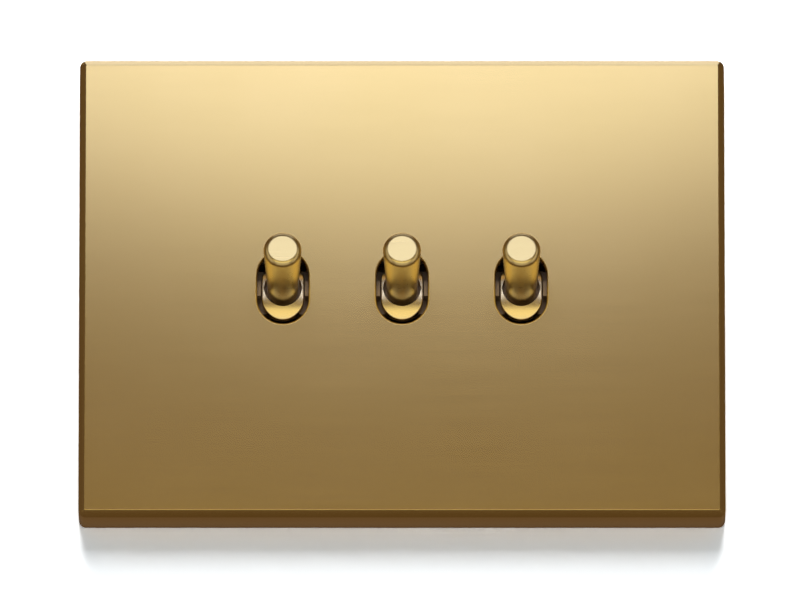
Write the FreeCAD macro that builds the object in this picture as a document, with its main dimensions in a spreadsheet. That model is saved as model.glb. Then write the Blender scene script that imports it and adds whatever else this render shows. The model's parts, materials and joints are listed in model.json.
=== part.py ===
"""Three-gang dolly switch on a brass plate, built as separate pieces from one table of sizes.

Frame: X to the right, Z up, the front faces -Y and the wall is the plane y = 0.
Depths in the table are counted from the front face of the plate towards the wall.
"""
import FreeCAD, Part
import Sketcher
import math
import os
import re

V = FreeCAD.Vector

# name: value in millimetres or degrees
SIZES = {
    # layout
    "gang_pitch": 22.5,
    "plate_depth": 10.0,
    "wall_gap": 0.3,
    # brass plate
    "plate_w": 122.0,
    "plate_h": 89.0,
    "sheet_thk": 1.6,
    "rim_thk": 1.6,
    "edge_bevel": 1.2,
    "corner_rad": 1.4,
    "slot_w": 9.7,
    "slot_len": 14.2,
    "slot_bevel": 0.3,
    # dolly
    "pivot_depth": 3.6,
    "dolly_tilt": 12.2,
    "dolly_reach": 18.3,
    "dolly_base_dia": 5.6,
    "dolly_tip_dia": 7.2,
    "dolly_tip_bevel": 0.7,
    "dolly_tip_ease": 1.0,
    "stud_dia": 2.9,
    "stud_reach": 3.2,
    "stud_clear": 0.05,
    "stud_end_gap": 0.2,
    # seat plate around the dolly
    "seat_w": 7.9,
    "seat_len": 12.0,
    "seat_rise": 1.64,
    "seat_thk": 2.2,
    "seat_crown_rad": 12.0,
    "seat_bore_deep": 2.4,
    "seat_bore_clear": 0.8,
    # actuator
    "ear_gap": 0.2,
    "ear_thk": 1.0,
    "ear_half": 1.6,
    "ear_rise": 1.4,
    "trunnion_dia": 2.5,
    "trunnion_len": 1.9,
    "trunnion_clear": 0.05,
    "block_half": 4.5,
    "block_back": 2.6,
    "tail_root_rad": 3.4,
    "tail_end_rad": 2.5,
    "tail_reach": 10.2,
    "stud_floor": 1.0,
    # plunger and spring
    "plunger_dia": 3.2,
    "plunger_clear": 0.05,
    "plunger_start": 7.6,
    "plunger_reach": 12.3,
    "plunger_tip_rad": 1.2,
    "plunger_dip": 0.3,
    "plunger_cone": 0.7,
    "spigot_dia": 1.3,
    "spigot_len": 1.4,
    "spring_mean_rad": 1.15,
    "spring_wire": 0.45,
    "spring_turns": 4.0,
    "spring_steps_per_turn": 10,
    # contact blade
    "blade_depth": 15.6,
    "blade_bend": 6.0,
    "blade_rest": 6.0,
    "blade_inner_rad": 0.4,
    "blade_thk": 0.8,
    "blade_half_len": 9.0,
    "blade_w": 5.0,
    "lip_rise": 0.4,
    "lip_thk": 0.6,
    "tip_offset": 8.0,
    "tip_dia": 2.8,
    "tip_rise": 0.65,
    "contact_gap": 0.05,
    # fixed terminals
    "strip_depth": 18.0,
    "strip_thk": 1.0,
    "saddle_floor": 0.4,
    "strip_edge": 6.6,
    "strip_w": 2.4,
    "pad_half": 1.8,
    "pad_x": 2.4,
    "saddle_half": 1.2,
    "saddle_strip_half": 1.6,
    "saddle_cheek": 0.6,
    "saddle_cheek_rise": 2.8,
    "blade_side_gap": 0.15,
    "tongue_in": 4.7,
    "tongue_thk": 1.0,
    "tongue_w": 5.0,
    "tongue_depth": 29.0,
    "foot_half": 1.0,
    "lower_pair_x": 5.1,
    # wire clamps
    "cage_w": 6.4,
    "cage_wall": 0.6,
    "cage_under": 4.8,
    "cage_over": 1.4,
    "cage_bar": 0.9,
    "cage_front": 21.0,
    "cage_len": 8.0,
    "clamp_screw_dia": 2.8,
    "clamp_screw_head": 4.0,
    "clamp_head_len": 1.4,
    "clamp_head_over": 0.4,
    "clamp_screw_depth": 25.0,
    "fit_clear": 0.05,
    # module housing and its front cover
    "housing_back": 32.0,
    "housing_side_gap": 0.3,
    "housing_h": 43.8,
    "housing_rad": 1.2,
    "housing_bevel": 0.6,
    "housing_wall": 1.4,
    "housing_wall_z": 1.6,
    "pocket_gap": 0.15,
    "pocket_back": 29.3,
    "wire_dia": 3.6,
    "wire_under": 2.0,
    "driver_dia": 4.6,
    "hook_half": 4.0,
    "hook_rise": 0.8,
    "hook_clear": 0.05,
    "hook_flat": 0.5,
    "hook_len": 2.2,
    "hook_root": 0.5,
    "cover_side_gap": 0.2,
    "cover_lap": 1.5,
    "cover_rad": 0.8,
    "cover_thk": 1.6,
    "cheek_gap": 0.25,
    "cheek_thk": 2.0,
    "cheek_half": 3.0,
    "cheek_front": 1.9,
    "cheek_bevel": 0.8,
    "mouth_half": 6.2,
    "leg_in": 4.5,
    "leg_out": 8.5,
    "leg_thk": 1.3,
    "leg_len": 4.4,
    # mounting frame
    "frame_w": 104.0,
    "frame_h": 74.0,
    "frame_rad": 4.0,
    "frame_front": 7.6,
    "window_gap": 0.3,
    "window_gap_z": 0.2,
    "frame_rim_w": 1.2,
    "frame_rim_rise": 1.6,
    "hook_ledge": 1.4,
    "hook_room": 0.9,
    "screw_spacing": 83.5,
    "screw_slot_w": 4.2,
    "screw_slot_len": 9.2,
    "screw_web": 2.0,
    "clip_x": 30.0,
    "clip_half": 4.0,
    "clip_gap": 0.3,
    "clip_thk": 1.4,
    "clip_nose": 0.7,
    "clip_nose_front": 8.7,
    "clip_end": 9.4,
    "clip_flat": 0.2,
    # plate carrier
    "carrier_gap": 0.1,
    "carrier_thk": 1.8,
    "carrier_window_w": 72.0,
    "carrier_window_h": 52.0,
    "carrier_window_rad": 3.0,
    "pad_in_x": 43.5,
    "pad_in_z": 28.5,
    "pad_size": 6.0,
    # box screws
    "box_screw_dia": 3.5,
    "box_screw_neck_dia": 3.9,
    "box_screw_head_dia": 6.4,
    "box_screw_head_len": 2.2,
    "box_screw_head_in": 0.6,
    "box_screw_head_drop": 0.9,
    "box_screw_neck_end": 10.3,
    "box_screw_end": 28.0,
    "box_screw_point": 1.5,
    "box_screw_point_dia": 1.2,
    # how far a cutting tool runs past the face that it cuts
    "overrun": 1.0,
}

GANGS = {"left": -1, "centre": 0, "right": 1}

# places that several pieces share, as formulas of the sizes
HOUSING_W = "(gang_pitch - housing_side_gap)"
COVER_W = "(gang_pitch - cover_side_gap)"
WINDOW_H = "(housing_h + 2 * window_gap_z)"
WINDOW_HALF = f"(gang_pitch + {HOUSING_W} / 2 + window_gap)"
SCREW_X = f"max(screw_spacing / 2; {WINDOW_HALF} + screw_web + screw_slot_len / 2)"
TONGUE_Z = "(housing_h / 2 - tongue_in)"
TONGUE_TOP = f"({TONGUE_Z} + tongue_thk)"
CAGE_IN = f"({TONGUE_Z} - cage_under)"
CAGE_OUT = f"({TONGUE_TOP} + cage_over)"
CLAMP_HEAD_Z = f"({CAGE_OUT} + clamp_head_over)"
WIRE_Z = f"({TONGUE_Z} - wire_under)"
BLADE_BACK = "(blade_depth + blade_inner_rad + blade_thk + contact_gap)"
STRIP_Y = f"max(strip_depth; {BLADE_BACK} + tip_rise + saddle_floor)"
PLUNGER_END = "max(plunger_reach; blade_depth - pivot_depth + plunger_dip)"
SHOULDER = "(min(seat_bore_deep; seat_thk) - seat_rise)"
BORE_FLOOR = "(stud_reach + stud_end_gap + stud_floor)"
CLAMPS = (("0", 1), ("-lower_pair_x", -1), ("lower_pair_x", -1))

doc = FreeCAD.newDocument("dolly_switch")
sheet = doc.addObject("Spreadsheet::Sheet", "Dims")
for row, (alias, value) in enumerate(SIZES.items(), start=1):
    sheet.set(f"A{row}", alias)
    sheet.set(f"B{row}", str(value))
    sheet.setAlias(f"B{row}", alias)
probe = doc.addObject("Part::Plane", "Probe")
doc.recompute()

NODES = []
WORD = re.compile(r"[a-z][a-z_]*")


def ex(text):
    """Turn names of sizes in a formula into references to the table."""
    return WORD.sub(lambda m: f"Dims.{m.group(0)}" if m.group(0) in SIZES else m.group(0), str(text))


def bind(item, **formulas):
    """Bind properties of an object to formulas; a double underscore stands for a dot."""
    for key, text in formulas.items():
        item.setExpression(key.replace("__", "."), ex(text))


def place(item, x="0", y="0", z="0", turn=None):
    """Bind the placement of an object, with an optional turn in degrees about X."""
    if turn is not None:
        item.Placement = FreeCAD.Placement(V(0, 0, 0), FreeCAD.Rotation(V(1, 0, 0), 1.0))
        bind(item, Placement__Rotation__Angle=turn)
    bind(item, Placement__Base__x=x, Placement__Base__y=y, Placement__Base__z=z)


def box(name, x_span, y_span, z_span):
    """A block between pairs of formulas along X, Y and Z."""
    item = doc.addObject("Part::Box", name)
    bind(
        item,
        Length=f"({x_span[1]}) - ({x_span[0]})",
        Width=f"({y_span[1]}) - ({y_span[0]})",
        Height=f"({z_span[1]}) - ({z_span[0]})",
    )
    place(item, x_span[0], y_span[0], z_span[0])
    return item


def deep_box(name, x_span, depth_span, z_span):
    """A block whose second span is given as depths behind the front face."""
    y_span = [f"({d}) - plate_depth" for d in depth_span]
    return box(name, x_span, y_span, z_span)


def rod(name, axis, radius, start, length, x="0", y="0", z="0"):
    """A cylinder along X, Y or Z from a start value along its own axis."""
    item = doc.addObject("Part::Cylinder", name)
    along = {"x": V(1, 0, 0), "y": V(0, 1, 0), "z": V(0, 0, 1)}[axis]
    item.Placement = FreeCAD.Placement(V(0, 0, 0), FreeCAD.Rotation(V(0, 0, 1), along))
    bind(item, Radius=radius, Height=length)
    base = {"x": x, "y": y, "z": z}
    base[axis] = f"({base[axis]}) + ({start})"
    place(item, base["x"], base["y"], base["z"])
    return item


def join(name, *items):
    """The union of several solids."""
    item = doc.addObject("Part::MultiFuse", name)
    item.Shapes = list(items)
    item.Refine = True
    return item


def cut(name, base, *tools):
    """A solid less one or more tools."""
    item = doc.addObject("Part::Cut", name)
    item.Base = base
    item.Tool = tools[0] if len(tools) == 1 else join(name + "_tools", *tools)
    item.Refine = True
    return item


def group(name, *items):
    """Several separate solids as one node."""
    item = doc.addObject("Part::Compound", name)
    item.Links = list(items)
    return item


def node(label, item):
    """Register an object as a piece to export."""
    item.Label = label
    NODES.append(item)
    return item


def plane_of(body, role):
    """One of a body's own origin planes."""
    return next(f for f in body.Origin.OriginFeatures if f.Role == role)


def new_sketch(body, name, role, offset=None):
    """An empty sketch on one of the body's origin planes, moved along its normal by a formula."""
    sketch = body.newObject("Sketcher::SketchObject", name)
    sketch.AttachmentSupport = [(plane_of(body, role), "")]
    sketch.MapMode = "FlatFace"
    if offset is not None:
        bind(sketch, AttachmentOffset__Base__z=offset)
    return sketch


def polygon(sketch, points, formulas):
    """A closed outline whose corners are all bound to pairs of formulas from the sketch origin."""
    count = len(points)
    for i in range(count):
        start = V(*points[i], 0)
        end = V(*points[(i + 1) % count], 0)
        sketch.addGeometry(Part.LineSegment(start, end))
    for i in range(count):
        sketch.addConstraint(Sketcher.Constraint("Coincident", i, 2, (i + 1) % count, 1))
    for i, (first, second) in enumerate(formulas):
        for kind, text, value in (("DistanceX", first, points[i][0]), ("DistanceY", second, points[i][1])):
            index = sketch.addConstraint(Sketcher.Constraint(kind, -1, 1, i, 1, value))
            sketch.setExpression(f"Constraints[{index}]", ex(text))


def solve(text):
    """The present value of a formula of sizes, worked out by a probe object of the document."""
    probe.setExpression("Placement.Base.x", ex(text))
    probe.recompute()
    return probe.Placement.Base.x


def outline(sketch, formulas):
    """A closed outline from pairs of formulas."""
    points = [(solve(first), solve(second)) for first, second in formulas]
    polygon(sketch, points, formulas)


def rectangle(sketch, half_w, half_h):
    """A rectangle about the sketch origin, bound to its half sizes."""
    left, low = f"-({half_w})", f"-({half_h})"
    outline(sketch, [(left, low), (half_w, low), (half_w, half_h), (left, half_h)])


def turned(name, formulas):
    """A solid of revolution about Y from a half profile of (radius, y) pairs."""
    body = doc.addObject("PartDesign::Body", name)
    sketch = new_sketch(body, name + "_profile", "XY_Plane")
    outline(sketch, formulas)
    doc.recompute()
    spin = body.newObject("PartDesign::Revolution", name + "_turn")
    spin.Profile = sketch
    spin.ReferenceAxis = (sketch, ["V_Axis"])
    spin.Angle = 360.0
    body.Tip = spin
    return body


def profiled(name, x_span, formulas):
    """A bar of constant section along X, from an outline of (y, z) pairs and a span along X."""
    body = doc.addObject("PartDesign::Body", name)
    sketch = new_sketch(body, name + "_section", "YZ_Plane", x_span[0])
    outline(sketch, formulas)
    pad(body, name + "_pad", sketch, f"({x_span[1]}) - ({x_span[0]})")
    return body


def circle(sketch, radius, x="0", z="0"):
    """A circle bound to its radius and centre."""
    values = (("DistanceX", solve(x), x), ("DistanceY", solve(z), z))
    index = sketch.addGeometry(Part.Circle(V(values[0][1], values[1][1], 0), V(0, 0, 1), solve(radius)))
    for kind, value, text in values:
        number = sketch.addConstraint(Sketcher.Constraint(kind, -1, 1, index, 3, value))
        sketch.setExpression(f"Constraints[{number}]", ex(text))
    bind_radius(sketch, index, solve(radius), radius)


def flat_slot(sketch, width, length, centre):
    """A level slot outline with round ends, bound to its width, length and centre."""
    half, reach, mid = solve(f"({width}) / 2"), solve(f"(({length}) - ({width})) / 2"), solve(centre)
    first = len(sketch.Geometry)
    right = Part.Circle(V(mid + reach, 0, 0), V(0, 0, 1), half)
    left = Part.Circle(V(mid - reach, 0, 0), V(0, 0, 1), half)
    quarter = math.pi / 2
    sketch.addGeometry(Part.ArcOfCircle(right, -quarter, quarter))
    sketch.addGeometry(Part.LineSegment(V(mid + reach, half, 0), V(mid - reach, half, 0)))
    sketch.addGeometry(Part.ArcOfCircle(left, quarter, 3 * quarter))
    sketch.addGeometry(Part.LineSegment(V(mid - reach, -half, 0), V(mid + reach, -half, 0)))
    run = f"(({length}) - ({width})) / 2"
    ends = ((first, mid + reach, f"{centre} + {run}"), (first + 2, mid - reach, f"{centre} - {run}"))
    places = [("DistanceX", end, value, text) for end, value, text in ends]
    places += [("DistanceY", end, 0.0, "0") for end, _, _ in ends]
    close_slot(sketch, first, places)
    bind_radius(sketch, first, half, f"({width}) / 2")


def stadium(sketch, width, length, centre="0"):
    """An upright slot outline with round ends, bound to its width, length and centre."""
    half_w, reach, mid = solve(f"({width}) / 2"), solve(f"(({length}) - ({width})) / 2"), solve(centre)
    first = len(sketch.Geometry)
    top = Part.Circle(V(mid, reach, 0), V(0, 0, 1), half_w)
    bottom = Part.Circle(V(mid, -reach, 0), V(0, 0, 1), half_w)
    sketch.addGeometry(Part.ArcOfCircle(top, 0.0, math.pi))
    sketch.addGeometry(Part.LineSegment(V(mid - half_w, reach, 0), V(mid - half_w, -reach, 0)))
    sketch.addGeometry(Part.ArcOfCircle(bottom, math.pi, 2 * math.pi))
    sketch.addGeometry(Part.LineSegment(V(mid + half_w, -reach, 0), V(mid + half_w, reach, 0)))
    run = f"(({length}) - ({width})) / 2"
    ends = ((first, reach, run), (first + 2, -reach, f"-{run}"))
    places = [("DistanceX", end, mid, centre) for end, _, _ in ends]
    places += [("DistanceY", end, value, text) for end, value, text in ends]
    close_slot(sketch, first, places)
    bind_radius(sketch, first, half_w, f"({width}) / 2")


def close_slot(sketch, first, places):
    """Join the four lines of a slot outline smoothly and bind the centres of its two ends."""
    for i in range(4):
        sketch.addConstraint(Sketcher.Constraint("Tangent", first + i, 2, first + (i + 1) % 4, 1))
    for kind, end, value, text in places:
        index = sketch.addConstraint(Sketcher.Constraint(kind, -1, 1, end, 3, value))
        sketch.setExpression(f"Constraints[{index}]", ex(text))


def bind_radius(sketch, item, value, text):
    """Bind the radius of a circle or arc."""
    index = sketch.addConstraint(Sketcher.Constraint("Radius", item, value))
    sketch.setExpression(f"Constraints[{index}]", ex(text))


def rounded(sketch, width, height, radius):
    """A rectangle with round corners about the sketch origin, bound to its size and corner radius."""
    half_w, half_h, rad = solve(f"({width}) / 2"), solve(f"({height}) / 2"), solve(radius)
    in_w, in_h = half_w - rad, half_h - rad
    quarter = math.pi / 2
    corners = ((in_w, in_h, 0), (-in_w, in_h, 1), (-in_w, -in_h, 2), (in_w, -in_h, 3))
    for x, z, turn in corners:
        circle = Part.Circle(V(x, z, 0), V(0, 0, 1), rad)
        sketch.addGeometry(Part.ArcOfCircle(circle, turn * quarter, (turn + 1) * quarter))
    for i in range(4):
        start = sketch.getPoint(i, 2)
        end = sketch.getPoint((i + 1) % 4, 1)
        sketch.addGeometry(Part.LineSegment(start, end))
        sketch.addConstraint(Sketcher.Constraint("Tangent", i, 2, 4 + i, 1))
        sketch.addConstraint(Sketcher.Constraint("Tangent", 4 + i, 2, (i + 1) % 4, 1))
    for i, (x, z, _) in enumerate(corners):
        sign_x = "" if x > 0 else "-"
        sign_z = "" if z > 0 else "-"
        pairs = (
            ("DistanceX", x, f"{sign_x}(({width}) / 2 - ({radius}))"),
            ("DistanceY", z, f"{sign_z}(({height}) / 2 - ({radius}))"),
        )
        for kind, value, text in pairs:
            index = sketch.addConstraint(Sketcher.Constraint(kind, -1, 1, i, 3, value))
            sketch.setExpression(f"Constraints[{index}]", ex(text))
    bind_radius(sketch, 0, rad, radius)


def pad(body, name, sketch, length):
    """Add material along the sketch normal."""
    doc.recompute()
    item = body.newObject("PartDesign::Pad", name)
    item.Profile = sketch
    bind(item, Length=length)
    body.Tip = item
    doc.recompute()
    return item


def pocket(body, name, sketch, length, reverse):
    """Take material away, checked against the volume before."""
    doc.recompute()
    before = body.Shape.Volume
    item = body.newObject("PartDesign::Pocket", name)
    item.Profile = sketch
    item.Reversed = reverse
    bind(item, Length=length)
    body.Tip = item
    doc.recompute()
    if body.Shape.Volume >= before - 1e-6:
        raise RuntimeError(f"{name} removes nothing")
    return item


def dressed(body, kind, name, wanted, **sizes):
    """Dress the edges that a test picks with a PartDesign feature bound to its sizes."""
    base = body.Tip
    edges = [f"Edge{i}" for i, e in enumerate(base.Shape.Edges, start=1) if wanted(e)]
    item = body.newObject(kind, name)
    item.Base = (base, edges)
    bind(item, **sizes)
    body.Tip = item
    doc.recompute()


def bevel(body, name, size, wanted):
    """Chamfer the edges that a test picks."""
    dressed(body, "PartDesign::Chamfer", name, wanted, Size=size)


def ease(body, name, radius, wanted):
    """Round the edges that a test picks."""
    dressed(body, "PartDesign::Fillet", name, wanted, Radius=radius)


def on_depth(depth_y):
    """A test for edges that lie in one plane across Y."""
    return lambda e: all(abs(v.Point.y - depth_y) < 1e-4 for v in e.Vertexes)


def sided(low, high, sign):
    """A span on the positive side, mirrored for the negative side."""
    return (low, high) if sign > 0 else (f"-({high})", f"-({low})")


def both(half):
    """A span about zero."""
    return (f"-({half})", half)


def at_depth(depth):
    """The y of a depth behind the front face."""
    return f"({depth}) - plate_depth"


def make_cover_plate():
    """Brass tray: bevelled front edge, three slots with broken edges."""
    body = doc.addObject("PartDesign::Body", "cover_plate")
    front_y = solve("-plate_depth")
    rim = new_sketch(body, "plate_outline", "XZ_Plane", "wall_gap")
    rounded(rim, "plate_w", "plate_h", "corner_rad")
    pad(body, "plate_pad", rim, "plate_depth - wall_gap")
    bevel(body, "plate_edge", "edge_bevel", on_depth(front_y))
    hollow = new_sketch(body, "plate_hollow_outline", "XZ_Plane", "wall_gap")
    rectangle(hollow, "plate_w / 2 - rim_thk", "plate_h / 2 - rim_thk")
    pocket(body, "plate_hollow", hollow, "plate_depth - wall_gap - sheet_thk", True)
    slot = new_sketch(body, "plate_slot_outline", "XZ_Plane", "plate_depth")
    for sign in GANGS.values():
        stadium(slot, "slot_w", "slot_len", f"{sign} * gang_pitch")
    pocket(body, "plate_slots", slot, "sheet_thk", False)
    reach = solve("gang_pitch + slot_w")
    in_plane = on_depth(front_y)

    def slot_edge(e):
        return in_plane(e) and abs(e.CenterOfMass.x) < reach and abs(e.CenterOfMass.z) < reach / 2

    bevel(body, "slot_edges", "slot_bevel", slot_edge)
    node("cover_plate", body)


def make_plate_carrier():
    """Moulded ring inside the tray with four ramped clip legs and four rest pads."""
    half_w = "plate_w / 2 - rim_thk - carrier_gap"
    half_h = "plate_h / 2 - rim_thk - carrier_gap"
    back = "sheet_thk + carrier_thk"
    ring = doc.addObject("PartDesign::Body", "carrier_ring")
    edge = new_sketch(ring, "carrier_outline", "XZ_Plane", f"plate_depth - ({back})")
    rectangle(edge, half_w, half_h)
    pad(ring, "carrier_pad", edge, "carrier_thk")
    window = new_sketch(ring, "carrier_window", "XZ_Plane", f"plate_depth - ({back})")
    rounded(window, "carrier_window_w", "carrier_window_h", "carrier_window_rad")
    pocket(ring, "carrier_opening", window, "carrier_thk", True)
    items = [ring]
    near, far = "frame_h / 2 + clip_gap", "frame_h / 2 + clip_gap + clip_thk"
    nose = f"{near} - clip_nose"
    hook, end = at_depth("clip_nose_front"), at_depth("clip_end")
    for i, (side, up) in enumerate(((-1, -1), (1, -1), (-1, 1), (1, 1))):
        x_span = (f"{side} * clip_x - clip_half", f"{side} * clip_x + clip_half")
        leg = [
            (at_depth(back), near),
            (hook, near),
            (hook, nose),
            (f"{hook} + clip_flat", nose),
            (end, near),
            (end, far),
            (at_depth(back), far),
        ]
        if up < 0:
            leg = [(y, f"-({z})") for y, z in reversed(leg)]
        items.append(profiled(f"carrier_leg_{i}", x_span, leg))
        pad_x = sided("pad_in_x", "pad_in_x + pad_size", side)
        pad_z = sided("pad_in_z", "pad_in_z + pad_size", up)
        items.append(deep_box(f"carrier_pad_{i}", pad_x, (back, "frame_front"), pad_z))
    node("plate_carrier", join("plate_carrier", *items))


def make_mounting_frame():
    """Frame on the wall: raised rim, module window with a hook ledge, slotted screw holes, clip notches."""
    body = doc.addObject("PartDesign::Body", "mounting_frame_body")
    rim = new_sketch(body, "frame_outline", "XZ_Plane")
    rounded(rim, "frame_w", "frame_h", "frame_rad")
    thick = "plate_depth - frame_front"
    pad(body, "frame_pad", rim, f"{thick} + frame_rim_rise")
    tray = new_sketch(body, "frame_tray", "XZ_Plane", f"{thick} + frame_rim_rise")
    rounded(tray, "frame_w - 2 * frame_rim_w", "frame_h - 2 * frame_rim_w", "frame_rad - frame_rim_w")
    pocket(body, "frame_sink", tray, "frame_rim_rise", False)
    slots = new_sketch(body, "frame_slots", "XZ_Plane", thick)
    for side in (-1, 1):
        flat_slot(slots, "screw_slot_w", "screw_slot_len", f"{side} * {SCREW_X}")
    pocket(body, "frame_slot_cut", slots, thick, False)
    through = ("frame_front - overrun", "plate_depth + overrun")
    tools = [deep_box("frame_window", both(WINDOW_HALF), through, both(f"{WINDOW_H} / 2"))]
    ledge = ("frame_front + hook_ledge", "plate_depth + overrun")
    tools.append(deep_box("frame_rebate", both(WINDOW_HALF), ledge, both(f"{WINDOW_H} / 2 + hook_room")))
    depth = ("clip_nose_front - clip_gap / 2", "plate_depth + overrun")
    for side in (-1, 1):
        clip = (f"{side} * clip_x - clip_half - clip_gap", f"{side} * clip_x + clip_half + clip_gap")
        for up in (-1, 1):
            z_span = sided("frame_h / 2 - clip_nose", "frame_h / 2 + overrun", up)
            tools.append(deep_box(f"frame_notch_{side + 1}{up + 1}", clip, depth, z_span))
    node("mounting_frame", cut("mounting_frame", body, *tools))


def make_box_screws():
    """Two pan-head screws with a plain neck in the frame and a threaded shank behind it."""
    head_y, neck_y = "frame_front - plate_depth", "box_screw_neck_end - plate_depth"
    end_y = "box_screw_end - plate_depth"
    screws = []
    for side in (-1, 1):
        name = "box_screw_left" if side < 0 else "box_screw_right"
        top = f"{head_y} - box_screw_head_len"
        profile = [
            ("0", top),
            ("box_screw_head_dia / 2 - box_screw_head_in", top),
            ("box_screw_head_dia / 2", f"{top} + box_screw_head_drop"),
            ("box_screw_head_dia / 2", head_y),
            ("box_screw_neck_dia / 2", head_y),
            ("box_screw_neck_dia / 2", neck_y),
            ("box_screw_dia / 2", neck_y),
            ("box_screw_dia / 2", f"{end_y} - box_screw_point"),
            ("box_screw_point_dia / 2", end_y),
            ("0", end_y),
        ]
        screw = turned(name, profile)
        place(screw, f"{side} * {SCREW_X}")
        screws.append(screw)
    node("box_screws", group("box_screws", *screws))


def make_dolly(gang, sign):
    """Turned lever, its seat plate, the actuator, the spring and the plunger, all tilted together."""
    spot = {"x": f"{sign} * gang_pitch", "y": "pivot_depth - plate_depth", "turn": "-dolly_tilt"}
    reach = "dolly_reach"
    lever = turned(
        f"dolly_{gang}",
        [
            ("0", "stud_reach"),
            ("stud_dia / 2", "stud_reach"),
            ("stud_dia / 2", SHOULDER),
            ("dolly_base_dia / 2", SHOULDER),
            ("dolly_tip_dia / 2", f"-{reach} + dolly_tip_bevel"),
            ("dolly_tip_dia / 2 - dolly_tip_bevel", f"-{reach}"),
            ("0", f"-{reach}"),
        ],
    )
    doc.recompute()
    tip_y = solve("dolly_tip_dia - dolly_reach")
    ease(lever, f"dolly_{gang}_tip", "dolly_tip_ease", lambda e: e.isClosed() and e.CenterOfMass.y < tip_y)
    place(lever, **spot)
    node(f"dolly_{gang}", lever)

    blank = doc.addObject("PartDesign::Body", f"seat_{gang}_blank")
    face = new_sketch(blank, f"seat_{gang}_outline", "XZ_Plane", "seat_rise - seat_thk")
    stadium(face, "seat_w", "seat_len")
    circle(face, "stud_dia / 2 + stud_clear")
    pad(blank, f"seat_{gang}_pad", face, "seat_thk + overrun")
    sink = new_sketch(blank, f"seat_{gang}_sink", "XZ_Plane", "seat_rise + overrun")
    circle(sink, "dolly_base_dia / 2 + seat_bore_clear")
    pocket(blank, f"seat_{gang}_bore", sink, "seat_bore_deep + overrun", False)
    axis_y = "seat_crown_rad - seat_rise"
    crown = rod(f"seat_{gang}_crown", "x", "seat_crown_rad", "-seat_w", "2 * seat_w", y=axis_y)
    seat = doc.addObject("Part::MultiCommon", f"seat_{gang}")
    seat.Shapes = [blank, crown]
    place(seat, **spot)
    node(f"seat_{gang}", seat)

    ear_in, ear_out = "seat_w / 2 + ear_gap", "seat_w / 2 + ear_gap + ear_thk"
    block_top = "seat_thk - seat_rise"
    name = f"actuator_{gang}"
    tail = turned(
        name + "_tail",
        [
            ("0", block_top),
            ("tail_root_rad", block_top),
            ("tail_root_rad", "block_back"),
            ("tail_end_rad", "tail_reach"),
            ("0", "tail_reach"),
        ],
    )
    block = box(name + "_block", both(ear_out), (block_top, "block_back"), both("block_half"))
    solids = [block, tail]
    for side in (-1, 1):
        tag = "right" if side > 0 else "left"
        span = sided(ear_in, ear_out, side)
        solids.append(box(f"{name}_ear_{tag}", span, ("-ear_rise", "block_back"), both("ear_half")))
        start = ear_in if side > 0 else f"-({ear_out}) - trunnion_len"
        solids.append(
            rod(f"{name}_trunnion_{tag}", "x", "trunnion_dia / 2", start, "ear_thk + trunnion_len")
        )
    stud_rad, bore_rad = "stud_dia / 2 + stud_clear", "plunger_dia / 2 + plunger_clear"
    stud_hole = rod(name + "_stud_hole", "y", stud_rad, "0", "stud_reach + stud_end_gap")
    spring_bore = rod(name + "_spring_bore", "y", bore_rad, BORE_FLOOR, "tail_reach")
    tools = [stud_hole, spring_bore]
    body = cut(name, join(name + "_solid", *solids), *tools)
    place(body, **spot)
    node(name, body)

    spring = doc.addObject("Part::Feature", f"spring_{gang}")
    spring.Shape = spring_shape(solve(BORE_FLOOR), solve("plunger_start"))
    place(spring, **spot)
    node(f"spring_{gang}", spring)

    ball = f"{PLUNGER_END} - plunger_tip_rad"
    arc = [
        (f"plunger_tip_rad * {math.cos(a):.5f}", f"{ball} + plunger_tip_rad * {math.sin(a):.5f}")
        for a in (math.radians(d) for d in (0, 22.5, 45, 67.5))
    ]
    plunger = turned(
        f"plunger_{gang}",
        [
            ("0", "plunger_start - spigot_len"),
            ("spigot_dia / 2", "plunger_start - spigot_len"),
            ("spigot_dia / 2", "plunger_start"),
            ("plunger_dia / 2", "plunger_start"),
            ("plunger_dia / 2", f"{ball} - plunger_cone"),
        ]
        + arc
        + [("0", PLUNGER_END)],
    )
    place(plunger, **spot)
    node(f"plunger_{gang}", plunger)


def spring_shape(start, end):
    """A coil of square wire along Y as a closed solid of flat facets, between two seats."""
    per_turn = SIZES["spring_steps_per_turn"]
    steps = per_turn * int(SIZES["spring_turns"])
    wire, mean = SIZES["spring_wire"], SIZES["spring_mean_rad"]
    rise = (end - start - wire) / steps
    rings = []
    for i in range(steps + 1):
        angle = 2 * math.pi * i / per_turn
        base = start + rise * i
        ring = []
        for out, up in ((-0.5, 0.0), (0.5, 0.0), (0.5, 1.0), (-0.5, 1.0)):
            radius = mean + out * wire
            ring.append(V(radius * math.cos(angle), base + up * wire, radius * math.sin(angle)))
        rings.append(ring)
    faces = []
    for low, high in zip(rings, rings[1:]):
        for k in range(4):
            quad = (low[k], low[(k + 1) % 4], high[(k + 1) % 4], high[k])
            faces.append(Part.Face(Part.makePolygon([quad[0], quad[1], quad[2], quad[0]])))
            faces.append(Part.Face(Part.makePolygon([quad[0], quad[2], quad[3], quad[0]])))
    for ring in (rings[0], rings[-1]):
        faces.append(Part.Face(Part.makePolygon(ring + [ring[0]])))
    solid = Part.makeSolid(Part.makeShell(faces))
    if solid.Volume < 0:
        solid.reverse()
    return solid


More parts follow.
